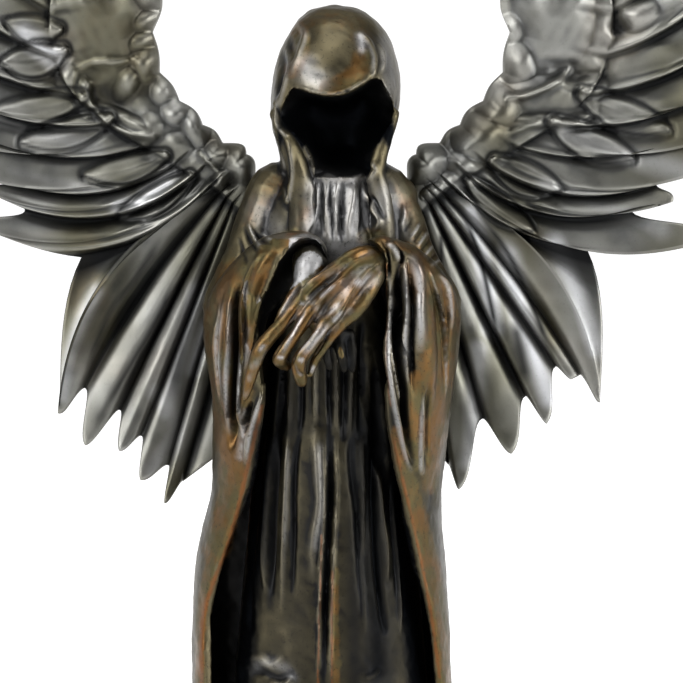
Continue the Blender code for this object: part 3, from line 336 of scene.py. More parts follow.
ARM_CREASES = [
    (0.55, -1.0, [(-24.6, 185.0), (-22.7, 180.5), (-20.4, 176.6)]),
    (0.5, 0.8, [(-23.5, 185.5), (-21.3, 181.1), (-19.0, 177.7)]),
    (0.55, -1.0, [(-22.1, 183.9), (-19.3, 180.5), (-16.5, 179.4)]),
    (0.5, 0.7, [(-19.3, 182.7), (-17.6, 181.1), (-15.4, 180.5)]),
    (0.5, -0.8, [(-26.0, 181.6), (-24.6, 177.1), (-23.8, 173.2)]),
    (0.6, 0.8, [(21.8, 180.8), (23.8, 183.3), (24.9, 185.5)]),
    (0.5, -0.9, [(23.0, 179.7), (24.9, 182.5), (26.3, 184.4)]),
    (0.5, 0.8, [(24.1, 178.5), (26.0, 181.3), (27.2, 183.0)]),
    (0.5, -0.9, [(24.9, 177.1), (26.9, 179.7), (28.0, 181.1)]),
    (0.5, 0.8, [(25.8, 175.7), (27.7, 178.0), (28.8, 179.1)]),
    (0.5, -0.8, [(26.9, 174.3), (28.6, 176.0), (29.7, 176.9)]),
    (0.5, 0.7, [(27.7, 173.2), (29.7, 174.6), (30.5, 175.2)]),
    (0.6, -0.8, [(20.4, 182.7), (22.1, 185.5), (22.7, 188.9)]),
    (0.7, 0.8, [(19.3, 183.9), (20.4, 187.2), (20.4, 190.6)]),
]
HANDS = [
    (0.6, 0.7, [(3.5, 174.3), (-2.1, 171.1), (-7.7, 167.5), (-8.7, 163.9)]),
    (0.8, -0.7, [(3.5, 171.5), (-0.9, 168.7), (-4.5, 165.9), (-6.5, 163.5)]),
    (0.6, 0.7, [(3.7, 170.7), (0.3, 167.5), (-2.9, 163.9), (-4.9, 161.5)]),
    (0.9, -0.8, [(3.7, 167.5), (1.1, 164.7), (-1.7, 161.5), (-2.9, 159.1)]),
    (0.6, 0.6, [(3.7, 162.3), (1.5, 159.1), (-0.1, 156.7)]),
    (0.5, 0.6, [(14.3, 174.7), (9.9, 171.5), (5.5, 165.5), (1.5, 157.5)]),
    (0.55, -0.9, [(-8.6, 162.4), (-11.6, 156.2), (-16.0, 149.2), (-18.0, 146.0)]),
    (0.55, -0.9, [(-4.0, 160.6), (-6.8, 155.0), (-10.4, 149.0), (-11.4, 145.0)]),
    (0.55, -0.9, [(0.6, 156.6), (-2.6, 151.6), (-6.0, 147.0), (-7.0, 143.0)]),
    (0.5, -0.6, [(-10.4, 146.0), (-9.4, 143.6), (-7.4, 142.2)]),
]
ROBE_UPPER = [
    (0.8, 1.0, [(-4.4, 152), (-4.6, 140), (-4.4, 128)]),
    (0.8, -1.2, [(-0.4, 152), (-0.6, 140), (-0.4, 126)]),
    (0.8, 1.0, [(1.6, 152), (1.4, 140), (1.4, 126)]),
    (1.0, -1.4, [(-8.4, 150), (-8.4, 138), (-8.7, 126)]),
    (1.0, 1.0, [(-11.2, 150), (-11.4, 138), (-11.9, 126)]),
    (1.0, -1.4, [(-13.4, 150), (-13.8, 138), (-14.7, 126)]),
    (0.8, 1.0, [(6.6, 158), (5.8, 144), (5.4, 134), (5.2, 124)]),
    (0.9, -1.2, [(4.0, 150), (3.6, 138), (3.4, 124)]),
    (0.9, -1.2, [(8.6, 158), (8.4, 140), (8.0, 124)]),
    (0.8, 1.0, [(10.4, 150), (10.2, 136), (9.8, 122)]),
]
# painted highlights on the fingers, knuckles and wrists, listed like folds: width, height, line
HAND_SHEEN = [
    (0.7, 1.0, [(-6.9, 161.4), (-10.2, 155.2), (-14.2, 147.8)]),
    (0.5, 1.0, [(-1.6, 157.8), (-5.6, 153.0), (-9.6, 148.4)]),
    (1.3, 1.0, [(-0.2, 157.6), (-4.2, 152.8), (-8.2, 148.0)]),
    (1.2, 1.0, [(3.0, 163.4), (0.2, 161.0), (-2.4, 159.8)]),
    (0.9, 1.0, [(1.6, 168.2), (-1.6, 166.0), (-3.4, 164.0)]),
    (1.8, 1.0, [(5.6, 170.4), (8.6, 168.4), (12.0, 171.4)]),
    (1.0, 1.0, [(3.4, 161.0), (1.6, 158.8), (0.0, 157.4)]),
    (0.7, 1.0, [(-18.6, 151.2), (-19.6, 150.2), (-20.2, 149.2)]),
    (0.6, 1.0, [(-9.0, 163.0), (-8.0, 162.6), (-7.2, 162.2)]),
    (0.7, 1.0, [(-15.4, 147.8), (-14.0, 147.6), (-13.0, 147.8)]),
    (0.8, 1.0, [(-9.6, 147.2), (-8.4, 147.0), (-7.4, 147.2)]),
    (1.0, 1.0, [(-5.8, 143.2), (-5.2, 144.4), (-4.6, 145.4)]),
    (1.8, 1.0, [(-7.4, 178.4), (-4.6, 176.0), (-2.6, 173.6)]),
    (0.5, 1.0, [(-10.5, 178.0), (-10.2, 173.6), (-9.7, 168.8)]),
    (0.9, 1.0, [(-8.6, 168.0), (-11.6, 163.6), (-14.6, 158.6)]),
]
BACK_FOLDS = [
    (2.6, 1.7, [(0, 176), (0.4, 120), (0, 60), (0, 2)]),
    (2.2, -1.6, [(-5.4, 168), (-6.4, 110), (-7.4, 2)]),
    (2.4, 1.5, [(-10, 170), (-12, 110), (-14, 2)]),
    (2.2, -1.5, [(-14.6, 160), (-18, 100), (-21, 2)]),
    (2.4, 1.4, [(-19, 158), (-23.4, 100), (-27.4, 2)]),
    (2.2, -1.6, [(5.4, 168), (6.2, 110), (7.2, 2)]),
    (2.4, 1.5, [(10, 170), (11.6, 110), (13.4, 2)]),
    (2.2, -1.5, [(14.6, 160), (17, 100), (19.6, 2)]),
    (2.4, 1.4, [(19, 158), (22.4, 100), (26, 2)]),
    (1.8, 1.0, [(-4, 240), (-7, 220), (-6, 200), (-12, 190)]),
    (1.8, 1.0, [(5, 240), (8, 220), (7, 200), (13, 190)]),
    (0.8, -0.8, [(-2.4, 150), (-3.0, 90), (-3.4, 30)]),
    (0.8, -0.8, [(3.0, 140), (3.2, 80), (3.6, 20)]),
    (0.7, 0.7, [(-8.4, 140), (-10.0, 90), (-10.6, 30)]),
    (0.7, 0.7, [(8.0, 150), (9.4, 100), (10.2, 40)]),
]

# how much silver the ridges of some folds get, rubbed metal and painted highlight, and how much black their
# grooves get, stain and painted shade
FOLD_WEAR = [
    (LEFT_SLEEVE, 0.75, 0.9),
    (RIGHT_SLEEVE, 0.75, 0.9),
    (ROBE_FRONT, 0.14, 0.85),
    (ROBE_UPPER, 0.12, 0.8),
    (CHEST, 0.60, 0.6),
    (HOOD_FOLDS, 0.30, 0.45),
    (ARM_CREASES, 0.65, 0.85),
    (HANDS, 0.15, 0.8),
    (HAND_SHEEN, 0.65, 0.0),
]

# Brushed patina with painted shade and painted highlights: which ink, width, strength and the line as seen
# from the front

PATINA = [
    (Ink.BROWN, 2.4, 1.0, [(-8.6, 182.2), (-13.0, 180.6), (-17.4, 177.6), (-20.2, 171), (-22.2, 164),
                           (-23.2, 156),
                           (-24.0, 146), (-24.6, 136)]),
    (Ink.BROWN, 1.6, 0.7, [(-35.0, 160), (-34.8, 150), (-33.4, 140), (-32.4, 124)]),
    (Ink.BROWN, 1.3, 0.8, [(-30.6, 146), (-30.8, 136), (-30.4, 124)]),
    (Ink.BROWN, 3.6, 1.0, [(-27.6, 121), (-28.0, 112), (-29.6, 104), (-32.2, 94)]),
    (Ink.BROWN, 1.5, 1.0, [(-32.2, 96), (-34.6, 86), (-36.2, 77), (-36.8, 66), (-36.8, 56), (-36.6, 4)]),
    (Ink.RUST, 0.9, 1.0, [(-19.4, 134), (-21.2, 126), (-23.6, 116), (-26.4, 104), (-29.6, 93), (-33.2, 84),
                          (-35.6, 76),
                          (-36.2, 66), (-36.2, 4)]),
    (Ink.RUST, 0.8, 0.7, [(-12.4, 182.0), (-9.2, 182.6), (-6.4, 182.6)]),
    (Ink.BROWN, 1.9, 1.0, [(8.6, 181.2), (11.2, 181.8), (14.0, 181.2), (15.4, 178.8)]),
    (Ink.BROWN, 1.4, 0.9, [(18.2, 179.2), (21.4, 178.6), (24.4, 176.4), (26.6, 173.6)]),
    (Ink.RUST, 0.6, 0.8, [(15.4, 174), (15.6, 162), (15.6, 146), (16.6, 134)]),
    (Ink.BROWN, 3.6, 0.6, [(27.6, 166), (29.0, 156), (29.4, 144), (28.8, 126), (27.6, 112)]),
    (Ink.BROWN, 2.2, 0.8, [(33.4, 166), (34.6, 156), (34.2, 146)]),
    (Ink.BROWN, 2.0, 0.9, [(23.8, 142), (23.6, 130), (23.6, 118)]),
    (Ink.BROWN, 2.4, 1.0, [(18.8, 126), (21.4, 114), (25.0, 101), (28.0, 90), (30.0, 78), (31.2, 66),
                           (31.8, 56), (32.0, 4)]),
    (Ink.RUST, 0.7, 0.9, [(17.6, 124), (20.2, 113), (23.0, 101), (25.4, 90), (27.4, 79), (29.2, 67),
                          (30.4, 58)]),
    (Ink.RUST, 0.4, 1.0, [(-2.7, 98), (-3.0, 84), (-3.4, 70), (-3.8, 56)]),
    (Ink.RUST, 0.5, 0.9, [(0.4, 88), (0.1, 76), (0.2, 66), (0.2, 56)]),
    (Ink.BROWN, 1.0, 0.9, [(1.2, 88), (1.1, 76), (1.3, 66), (1.5, 56)]),
    (Ink.BROWN, 4.0, 0.35, [(-16, 196), (-20, 192), (-23, 184)]),
    (Ink.BROWN, 2.6, 0.6, [(-6.5, 190), (-7.6, 184)]),
    (Ink.BROWN, 5.0, 0.35, [(-9, 240), (-2, 243), (5, 242), (9, 238)]),
    # a warm painted highlight on the hood's upper left, laid in brown
    (Ink.BROWN, 2.4, 1.0, [(-9.0, 240), (-8.2, 234), (-10.8, 228)]),
    (Ink.BROWN, 2.6, 0.9, [(8.6, 232), (7.6, 228), (3.0, 224.6), (-1.0, 223)]),
    (Ink.BROWN, 3.0, 0.6, [(20, 196), (24, 184), (27, 178)]),
    (Ink.SILVER, 5.0, 0.6, [(1.0, 197), (1.4, 188), (1.8, 178)]),
    (Ink.SILVER, 4.0, 0.6, [(6.6, 197), (6.6, 188), (5.0, 179)]),
    (Ink.SILVER, 3.0, 0.6, [(-3.6, 196), (-4.4, 188), (-5.6, 182)]),
    (Ink.SILVER, 3.2, 0.4, [(15.5, 194), (14.0, 188)]),
    (Ink.SILVER, 3.0, 0.4, [(-7.6, 229.5), (-6.4, 226.6), (-3.6, 225.0)]),
    (Ink.SILVER, 1.2, 0.8, [(8.2, 237.4), (8.8, 234)]),
    # painted highlights: broad grey on the hood's right side, whitish on the right sleeve
    (Ink.SILVER, 2.4, 0.5, [(15.6, 236), (16.8, 228), (16.6, 222)]),
    (Ink.SILVER, 1.5, 0.35, [(23.2, 175), (24.6, 166), (24.8, 157)]),
    (Ink.SILVER, 1.0, 0.6, [(-24.4, 132), (-24.6, 126), (-25.4, 120)]),
    # the next ten black strokes: painted shade in the robe's valleys, under the hands, beside the robe and on
    # the sleeves' inner walls, and stain along the narrow fold grooves
    (Ink.BLACK, 3.4, 0.85, [(6.4, 140), (6.0, 116), (6.4, 96), (6.6, 78), (6.8, 56), (6.8, 4)]),
    (Ink.BLACK, 6.0, 0.8, [(-14, 150), (-10, 140), (-12, 128)]),
    (Ink.BLACK, 9.0, 0.75, [(6, 156), (2, 143), (4, 134)]),
    (Ink.BLACK, 3.0, 0.8, [(-19.4, 128), (-20.6, 108), (-21.8, 94), (-23.4, 80), (-24, 66)]),
    (Ink.BLACK, 3.0, 0.8, [(13, 128), (15, 108), (17.6, 94), (19.6, 78)]),
    (Ink.BLACK, 1.1, 0.9, [(-8.8, 128), (-10.6, 112), (-10.8, 94)]),
    (Ink.BLACK, 0.9, 0.9, [(-0.6, 128), (-0.8, 106), (-1.8, 84), (-2.2, 56)]),
    (Ink.BLACK, 0.8, 0.95, [(-26.2, 166), (-27.2, 160), (-27.0, 150), (-27.2, 140), (-27.6, 128)]),
    (Ink.BLACK, 0.8, 0.8, [(18.8, 171), (18.4, 162), (18.2, 154), (19.0, 146), (20.6, 136), (21.4, 126),
                           (22.8, 118)]),
    (Ink.BLACK, 1.6, 0.9, [(-17.6, 167), (-18.6, 160), (-19.0, 152)]),
    # painted reflections on the upper arms
    (Ink.SILVER, 4.0, 0.20, [(17, 194), (19, 188), (20, 184)]),
    (Ink.SILVER, 4.0, 0.20, [(-20, 189), (-18, 185), (-15, 182)]),
    (Ink.BLACK, 0.5, 1.0, [(4.3, 222.0), (4.6, 222.1), (4.9, 222.2)]),
    # painted shade over the robe's right valley and its left side
    (Ink.BLACK, 7.6, 0.97, [(10.6, 130), (11.2, 104), (12.2, 86), (13.0, 70), (13.6, 60)]),
    (Ink.BLACK, 2.4, 0.8, [(12.0, 124), (12.4, 104), (13.4, 86), (14.8, 72)]),
    (Ink.BLACK, 1.4, 0.85, [(-15.4, 126), (-16.4, 108), (-17.0, 92), (-17.0, 78)]),
    # faint painted highlights on the robe's ridges
    (Ink.SILVER, 1.4, 0.3, [(-3.6, 122), (-3.4, 114), (-2.8, 106), (-4.6, 95)]),
    (Ink.SILVER, 0.6, 0.3, [(-12.2, 122), (-12.8, 108), (-13.2, 96)]),
    # a painted highlight along the cuff's rim over the wrist, and painted shade in the gap under it
    (Ink.SILVER, 0.6, 0.9, [(-12.2, 179.4), (-10, 181.1), (-7, 181.9), (-4.4, 181.5), (-2.4, 179.8)]),
    (Ink.BLACK, 0.7, 0.95, [(-11.6, 178.4), (-9.4, 180.1), (-6.8, 180.7), (-4.4, 180.2), (-2.2, 178.2),
                            (-1.0, 176)]),
    (Ink.BROWN, 7.0, 0.75, [(-27, 170), (-30, 160), (-31, 150), (-30.5, 138), (-29, 126)]),
    (Ink.BROWN, 6.0, 0.75, [(26, 172), (28.6, 164), (30, 154), (30, 142), (28.6, 126)]),
    # painted shade darkening the middle of the robe down to the hem
    (Ink.BLACK, 8.0, 0.42, [(-9, 112), (-10, 84), (-11, 60), (-11, 4)]),
    # painted highlights on the wrinkles above the hem and along the cloak's outer edges
    (Ink.SILVER, 1.5, 0.35, [(-24.0, 60), (-19.0, 62), (-13.6, 61), (-11.0, 58)]),
    (Ink.SILVER, 1.2, 0.4, [(-37.6, 92), (-39.0, 76), (-39.2, 60), (-39.2, 40)]),
    (Ink.SILVER, 1.1, 0.4, [(30.4, 104), (31.6, 90), (33.0, 76)]),
]


def smooth(keys: Path, where: np.ndarray) -> np.ndarray:
    """Reads a smooth curve through keys.

    Args:
        keys: Rows of (place, value, value, ...).
        where: The places to read it at.

    Returns:
        One row of values for each place.
    """
    table = np.array(keys, float)
    places, values = table[:, 0], table[:, 1:]
    slopes = np.gradient(values, places, axis=0)
    where = np.atleast_1d(np.asarray(where, float))
    i = np.clip(np.searchsorted(places, where) - 1, 0, len(places) - 2)
    span = (places[i + 1] - places[i])[:, None]
    t = np.clip((where[:, None] - places[i][:, None]) / span, 0, 1)
    return (
        (2 * t**3 - 3 * t**2 + 1) * values[i]
        + (t**3 - 2 * t**2 + t) * span * slopes[i]
        + (3 * t**2 - 2 * t**3) * values[i + 1]
        + (t**3 - t**2) * span * slopes[i + 1]
    )


def at(x: float, y: float, z: float) -> Vector:
    """A point of the figure's grid, in metres."""
    return Vector((x * STEP, y * STEP, FOOT + z * STEP))


def seen(points: np.ndarray) -> np.ndarray:
    """Where the photograph's camera sees points, as (x, z) on the upright plane through the middle.

    Args:
        points: Rows of (x, y, z), in steps.

    Returns:
        Rows of (x, z).
    """
    turn = math.radians(CAMERA_ELEVATION)
    x, y, z = (points - np.array(CAMERA_AIM)).T
    nearer = CAMERA_DISTANCE / (CAMERA_DISTANCE + y * math.cos(turn) - z * math.sin(turn))
    up = (z * math.cos(turn) + y * math.sin(turn)) * nearer
    return np.stack([CAMERA_AIM[0] + x * nearer, CAMERA_AIM[2] + up], -1)


def sighted(x: float, y: float, z: float) -> Row:
    """The point at depth y that the camera sees at (x, z).

    Args:
        x: How far across.
        y: The depth.
        z: How far up.

    Returns:
        The point, in steps.
    """
    turn = math.radians(CAMERA_ELEVATION)
    further = 1 + y * math.cos(turn) / CAMERA_DISTANCE
    across = CAMERA_AIM[0] + (x - CAMERA_AIM[0]) * further
    return (across, y, CAMERA_AIM[2] + (z - CAMERA_AIM[2]) * further - y * math.tan(turn))


def sighted_path(path: Path) -> Path:
    """A limb's (x, y, z, radius) points moved to where the camera sees them at those (x, z)."""
    return [(*sighted(x, y, z), radius) for x, y, z, radius in path]


def noise(points: np.ndarray, size: float, seed: int) -> np.ndarray:
    """A soft, repeatable lumpiness over points.

    Args:
        points: Rows of coordinates, in steps.
        size: How far apart the lumps are, in steps.
        seed: Picks the pattern.

    Returns:
        One value for each point, mostly between -1 and 1.
    """
    pick = np.random.default_rng(seed)
    total = np.zeros(len(points))
    for _ in range(10):
        wave = pick.normal(size=points.shape[1])
        wave *= math.tau / (size * np.linalg.norm(wave)) * pick.uniform(0.6, 1.5)
        total += np.cos(points @ wave + pick.uniform(0, math.tau))
    return total / 3.2


def distance_to(points: np.ndarray, path: Path, reach: float) -> tuple[np.ndarray, np.ndarray, np.ndarray]:
    """Measures points against a smooth line.

    Args:
        points: Rows of (x, z), in steps.
        path: The line's points.
        reach: Points further off than this are left out.

    Returns:
        Which points are near, how far each is off the line, and its share of the way along.
    """
    ends = np.linspace(0, 1, len(path))
    fine = smooth([(t, *p) for t, p in zip(ends, path)], np.linspace(0, 1, 6 * len(path)))
    low, high = fine.min(0) - reach, fine.max(0) + reach
    near = np.flatnonzero(np.all((points > low) & (points < high), axis=1))
    some = points[near]
    best = np.full(len(near), 1e9)
    share = np.zeros(len(near))
    for i, (start, end) in enumerate(zip(fine, fine[1:])):
        along = end - start
        t = np.clip(((some - start) @ along) / max(along @ along, 1e-9), 0, 1)
        gap = some - start - t[:, None] * along
        far = np.hypot(gap[:, 0], gap[:, 1])
        nearer = far < best
        best[nearer] = far[nearer]
        share[nearer] = (i + t[nearer]) / (len(fine) - 1)
    return near, best, share


def crisper(folds: list, wide: float, high: float) -> list:
    """The same folds, these many times as wide and as high."""
    return [(width * wide, height * high, path) for width, height, path in folds]


# Making meshes


def deselect() -> None:
    """Leaves nothing selected, the frame's nodes among them."""
    bpy.ops.object.select_all(action="DESELECT")


def activate(obj: bpy.types.Object) -> None:
    """Selects one object alone.

    Args:
        obj: The object.
    """
    deselect()
    obj.select_set(True)
    bpy.context.view_layer.objects.active = obj


def apply_modifier(obj: bpy.types.Object, kind: str, **settings: object) -> bpy.types.Object:
    """Adds one modifier to an object and applies it.

    Args:
        obj: The object.
        kind: Blender's name for the modifier.
        **settings: Its settings.

    Returns:
        The same object.
    """
    activate(obj)
    modifier = obj.modifiers.new(kind.title(), kind)
    for key, value in settings.items():
        setattr(modifier, key, value)
    bpy.ops.object.modifier_apply(modifier=modifier.name)
    return obj


def new_object(name: str, points: list, faces: list) -> bpy.types.Object:
    """An object of these points and faces, linked to the scene.

    Args:
        name: Its name.
        points: Its points.
        faces: Its faces, as rows of point numbers.

    Returns:
        The new object.
    """
    mesh = bpy.data.meshes.new(name)
    mesh.from_pydata(points, [], faces)
    obj = bpy.data.objects.new(name, mesh)
    bpy.context.scene.collection.objects.link(obj)
    return obj


def loft(name: str, rings: list[list[Vector]]) -> bpy.types.Object:
    """A closed skin over rings of equal length, capped at both ends.

    Args:
        name: The object's name.
        rings: The rings, from one end to the other.

    Returns:
        The new object.
    """
    wide = len(rings[0])
    faces = [
        (r * wide + i, r * wide + (i + 1) % wide, (r + 1) * wide + (i + 1) % wide, (r + 1) * wide + i)
        for r in range(len(rings) - 1)
        for i in range(wide)
    ]
    faces.append(tuple(range(wide))[::-1])
    faces.append(tuple(range((len(rings) - 1) * wide, len(rings) * wide)))
    made = new_object(name, [point for ring in rings for point in ring], faces)
    activate(made)
    bpy.ops.object.mode_set(mode="EDIT")
    bpy.ops.mesh.select_all(action="SELECT")
    bpy.ops.mesh.quads_convert_to_tris()
    bpy.ops.mesh.normals_make_consistent(inside=False)
    bpy.ops.object.mode_set(mode="OBJECT")
    return made


def oval_rings(keys: Path, rows: int, points: int = 72) -> list[list[Vector]]:
    """Rings up a body.

    Args:
        keys: Rows of (height, left, right, forwards, backwards), in steps.
        rows: How many rings.
        points: How many points in a ring.

    Returns:
        The rings, from the lowest.
    """
    heights = np.linspace(keys[0][0], keys[-1][0], rows)
    turns = np.linspace(0, math.tau, points, endpoint=False)
    rings = []
    for height, sizes in zip(heights, smooth(keys, heights)):
        left, right, forwards, backwards = np.maximum(sizes, 0.3)
        across = np.where(np.cos(turns) > 0, right, left) * np.cos(turns)
        along = np.where(np.sin(turns) > 0, backwards, forwards) * np.sin(turns)
        rings.append([at(x, y, height) for x, y in zip(across, along)])
    return rings


def rounded_end(line: np.ndarray) -> np.ndarray:
    """The (x, y, z, radius) points that close the far end of a limb in a half ball.

    Args:
        line: The limb's own points, from its root.

    Returns:
        One row for each point of the cap.
    """
    run = line[-1, :3] - line[-2, :3]
    run /= np.linalg.norm(run)
    turns = np.radians((25, 50, 70, 86))
    radius = line[-1, 3]
    return np.array([(*(line[-1, :3] + run * radius * math.sin(t)), radius * math.cos(t)) for t in turns])


def limb(name: str, path: Path) -> bpy.types.Object:
    """A round limb through (x, y, z, radius) points, as a bevelled curve made into a mesh.

    Args:
        name: The object's name.
        path: The limb's points, in steps.

    Returns:
        The new object.
    """
    curve = bpy.data.curves.new(name, "CURVE")
    curve.dimensions = "3D"
    curve.bevel_depth = STEP
    curve.bevel_resolution = 6
    curve.use_fill_caps = True
    ends = np.linspace(0, 1, len(path))
    fine = smooth([(t, *point) for t, point in zip(ends, path)], np.linspace(0, 1, 8 * len(path)))
    fine = np.vstack([rounded_end(fine[::-1])[::-1], fine, rounded_end(fine)])
    spline = curve.splines.new("POLY")
    spline.points.add(len(fine) - 1)
    for point, (x, y, z, radius) in zip(spline.points, fine):
        point.co = (*at(x, y, z), 1)
        point.radius = radius
    obj = bpy.data.objects.new(name, curve)
    bpy.context.scene.collection.objects.link(obj)
    activate(obj)
    bpy.ops.object.convert(target="MESH")
    bpy.ops.object.mode_set(mode="EDIT")
    bpy.ops.mesh.select_all(action="SELECT")
    bpy.ops.mesh.remove_doubles(threshold=0.00001)
    bpy.ops.mesh.normals_make_consistent(inside=False)
    bpy.ops.object.mode_set(mode="OBJECT")
    return obj


def ball(name: str, centre: Row, radii: Row) -> bpy.types.Object:
    """An egg-shaped lump, at a place and of three radii in steps.

    Args:
        name: Its name.
        centre: Its middle, in steps.
        radii: Its radii along x, y and z.

    Returns:
        The lump's object.
    """
    deselect()
    bpy.ops.mesh.primitive_uv_sphere_add(segments=40, ring_count=26, radius=1, location=at(*centre))
    made = bpy.context.object
    made.name = name
    made.scale = [radius * STEP for radius in radii]
    bpy.ops.object.transform_apply(location=True, rotation=True, scale=True)
    return made


def joined(name: str, parts: list[bpy.types.Object]) -> bpy.types.Object:
    """Several objects joined into one of this name.

    Args:
        name: The name of the whole.
        parts: The objects, of which the first is kept.

    Returns:
        The object that holds them all.
    """
    deselect()
    for part in parts:
        part.select_set(True)
    bpy.context.view_layer.objects.active = parts[0]
    bpy.ops.object.join()
    parts[0].name = name
    return parts[0]


def fused(name: str, lumps: list[bpy.types.Object], grain: float) -> bpy.types.Object:
    """Lumps pressed into one closed skin of an even grain, in steps."""
    return apply_modifier(joined(name, lumps), "REMESH", mode="VOXEL", voxel_size=grain * STEP)


def cut(obj: bpy.types.Object, tool: bpy.types.Object, solver: str = "MANIFOLD") -> bpy.types.Object:
    """Takes the tool's shape out of an object and removes the tool.

    Args:
        obj: What is cut.
        tool: The shape that is taken out.
        solver: Blender's name for the method.

    Returns:
        The object that was cut.
    """
    apply_modifier(obj, "BOOLEAN", object=tool, operation="DIFFERENCE", solver=solver)
    bpy.data.objects.remove(tool, do_unlink=True)
    return obj


def thinned(obj: bpy.types.Object, triangles: int) -> bpy.types.Object:
    """Collapses the flatter faces until about this many triangles are left.

    Args:
        obj: The object.
        triangles: How many triangles may be left.

    Returns:
        The same object.
    """
    obj.data.calc_loop_triangles()
    ratio = min(1.0, triangles / max(len(obj.data.loop_triangles), 1))
    return apply_modifier(obj, "DECIMATE", ratio=ratio, use_collapse_triangulate=True)


def thin_side(obj: bpy.types.Object, chosen: Callable[[bmesh.types.BMFace], bool], triangles: int) -> None:
    """Collapses the flatter of some faces until about this many triangles of them are left.

    Args:
        obj: The object.
        chosen: Says of a face whether it is among them.
        triangles: How many are left.
    """
    activate(obj)
    bpy.ops.object.mode_set(mode="EDIT")
    bpy.ops.mesh.select_all(action="DESELECT")
    edit = bmesh.from_edit_mesh(obj.data)
    count = 0
    for face in edit.faces:
        face.select = chosen(face)
        count += face.select * (len(face.verts) - 2)
    edit.select_flush_mode()
    bmesh.update_edit_mesh(obj.data)
    bpy.ops.mesh.decimate(ratio=min(1.0, triangles / max(count, 1)))
    bpy.ops.object.mode_set(mode="OBJECT")


class Surface:
    """A mesh's points and normals as arrays, in steps, with what a carver does to them."""

    def __init__(self, obj: bpy.types.Object) -> None:
        """Reads the object's mesh.

        Args:
            obj: A mesh object at the origin.
        """
        self.obj = obj
        mesh = obj.data
        count = len(mesh.vertices)
        flat = np.empty(count * 3)
        mesh.vertices.foreach_get("co", flat)
        self.points = flat.reshape(-1, 3) / STEP - np.array((0, 0, FOOT / STEP))
        flat = np.empty(count * 3)
        mesh.vertices.foreach_get("normal", flat)
        self.normals = flat.reshape(-1, 3).copy()
        ends = np.empty(len(mesh.edges) * 2, int)
        mesh.edges.foreach_get("vertices", ends)
        self.edges = ends.reshape(-1, 2)

    def write(self) -> None:
        """Puts the points back into the mesh."""
        moved = (self.points + np.array((0, 0, FOOT / STEP))) * STEP
        self.obj.data.vertices.foreach_set("co", moved.ravel())
        self.obj.data.update()

    def spread(self, values: np.ndarray, rounds: int) -> np.ndarray:
        """Averages values with their neighbours'.

        Args:
            values: One row for each point.
            rounds: How many times.

        Returns:
            The softened values.
        """
        a, b = self.edges.T
        count = len(self.points)
        ties = np.maximum(np.bincount(a, minlength=count) + np.bincount(b, minlength=count), 1)
        out = np.array(values, float).reshape(count, -1)
        for _ in range(rounds):
            for k in range(out.shape[1]):
                total = np.bincount(a, out[b, k], count) + np.bincount(b, out[a, k], count)
                out[:, k] = 0.4 * out[:, k] + 0.6 * total / ties
        return out.reshape(np.shape(values))

    def soften(self, rounds: int) -> None:
        """Rubs the surface smooth."""
        self.points = self.spread(self.points, rounds)

    def carve(
        self, folds: list, facing: int = -1, depth: tuple[float, float] = (-90, 90), sharp: float = 2.0
    ) -> None:
        """Raises or sinks folds along the normals.

        Args:
            folds: Rows of (width, height, line).
            facing: -1 for the front, 1 for the back.
            depth: The nearest and furthest y that is carved.
            sharp: 2 for a round profile, less for a creased one.
        """
        spots = seen(self.points) if facing < 0 else self.points[:, [0, 2]]
        turned = np.clip(self.normals[:, 1] * facing * 2.5, 0, 1)
        turned[(self.points[:, 1] < depth[0]) | (self.points[:, 1] > depth[1])] = 0
        lift = np.zeros(len(self.points))
        for width, height, path in folds:
            near, far, share = distance_to(spots, path, 3.2 * width)
            fade = np.sin(np.clip(np.minimum(share, 1 - share) * 3, 0, 1) * math.pi / 2)
            lift[near] += height * fade * np.exp(-((far / width) ** sharp)) * turned[near]
        self.points += self.normals * lift[:, None]

    def relief(self, rounds: int) -> np.ndarray:
        """How far each point stands proud of its surroundings, in steps."""
        return np.einsum("ij,ij->i", self.points - self.spread(self.points, rounds), self.normals)

    def brushed(self, ink: Ink) -> np.ndarray:
        """How much of an ink lies on each point of the front: patina, painted shade and painted highlights.

        Args:
            ink: Which ink. Silver keeps to the front alone, the others reach round the sides.

        Returns:
            One value for each point.
        """
        spots = seen(self.points)
        edge = 0.08 if ink is Ink.SILVER else 0.4
        turned = np.clip(edge - self.normals[:, 1] * 1.6, 0, 1)
        laid = np.zeros(len(self.points))
        for kind, width, strength, path in PATINA:
            if kind is ink:
                near, far, _ = distance_to(spots, path, 2.4 * width)
                laid[near] = np.maximum(laid[near], strength * np.exp(-((far / width) ** 2)))
        return laid * turned

    def traced(self, folds: list, raised: bool) -> np.ndarray:
        """How near each point of the front is to the line of a fold, from 0 to 1.

        Args:
            folds: Rows of (width, height, line).
            raised: True for the ridges, False for the grooves.

        Returns:
            One value for each point.
        """
        spots = seen(self.points)
        turned = np.clip(0.4 - self.normals[:, 1] * 1.5, 0, 1)
        laid = np.zeros(len(self.points))
        for width, height, path in folds:
            if (height > 0) is raised:
                near, far, share = distance_to(spots, path, 2.0 * width)
                fade = np.clip(np.minimum(share, 1 - share) * 4, 0, 1)
                fade *= min(abs(height), 1.0)
                laid[near] = np.maximum(laid[near], fade * np.exp(-((far / (0.68 * width)) ** 2)))
        return laid * turned

    def store(self, name: str, values: np.ndarray) -> None:
        """Keeps values on the mesh for its material to read."""
        kept = self.obj.data.attributes.get(name) or self.obj.data.attributes.new(name, "FLOAT", "POINT")
        kept.data.foreach_set("value", np.asarray(values, np.float32))


# Finishes


def linear(code: str) -> tuple[float, float, float, float]:
    """A linear colour from an sRGB hex value such as #2b2820."""
    parts = [int(code[i : i + 2], 16) / 255 for i in (1, 3, 5)]
    return (*(c / 12.92 if c <= 0.04045 else ((c + 0.055) / 1.055) ** 2.4 for c in parts), 1.0)


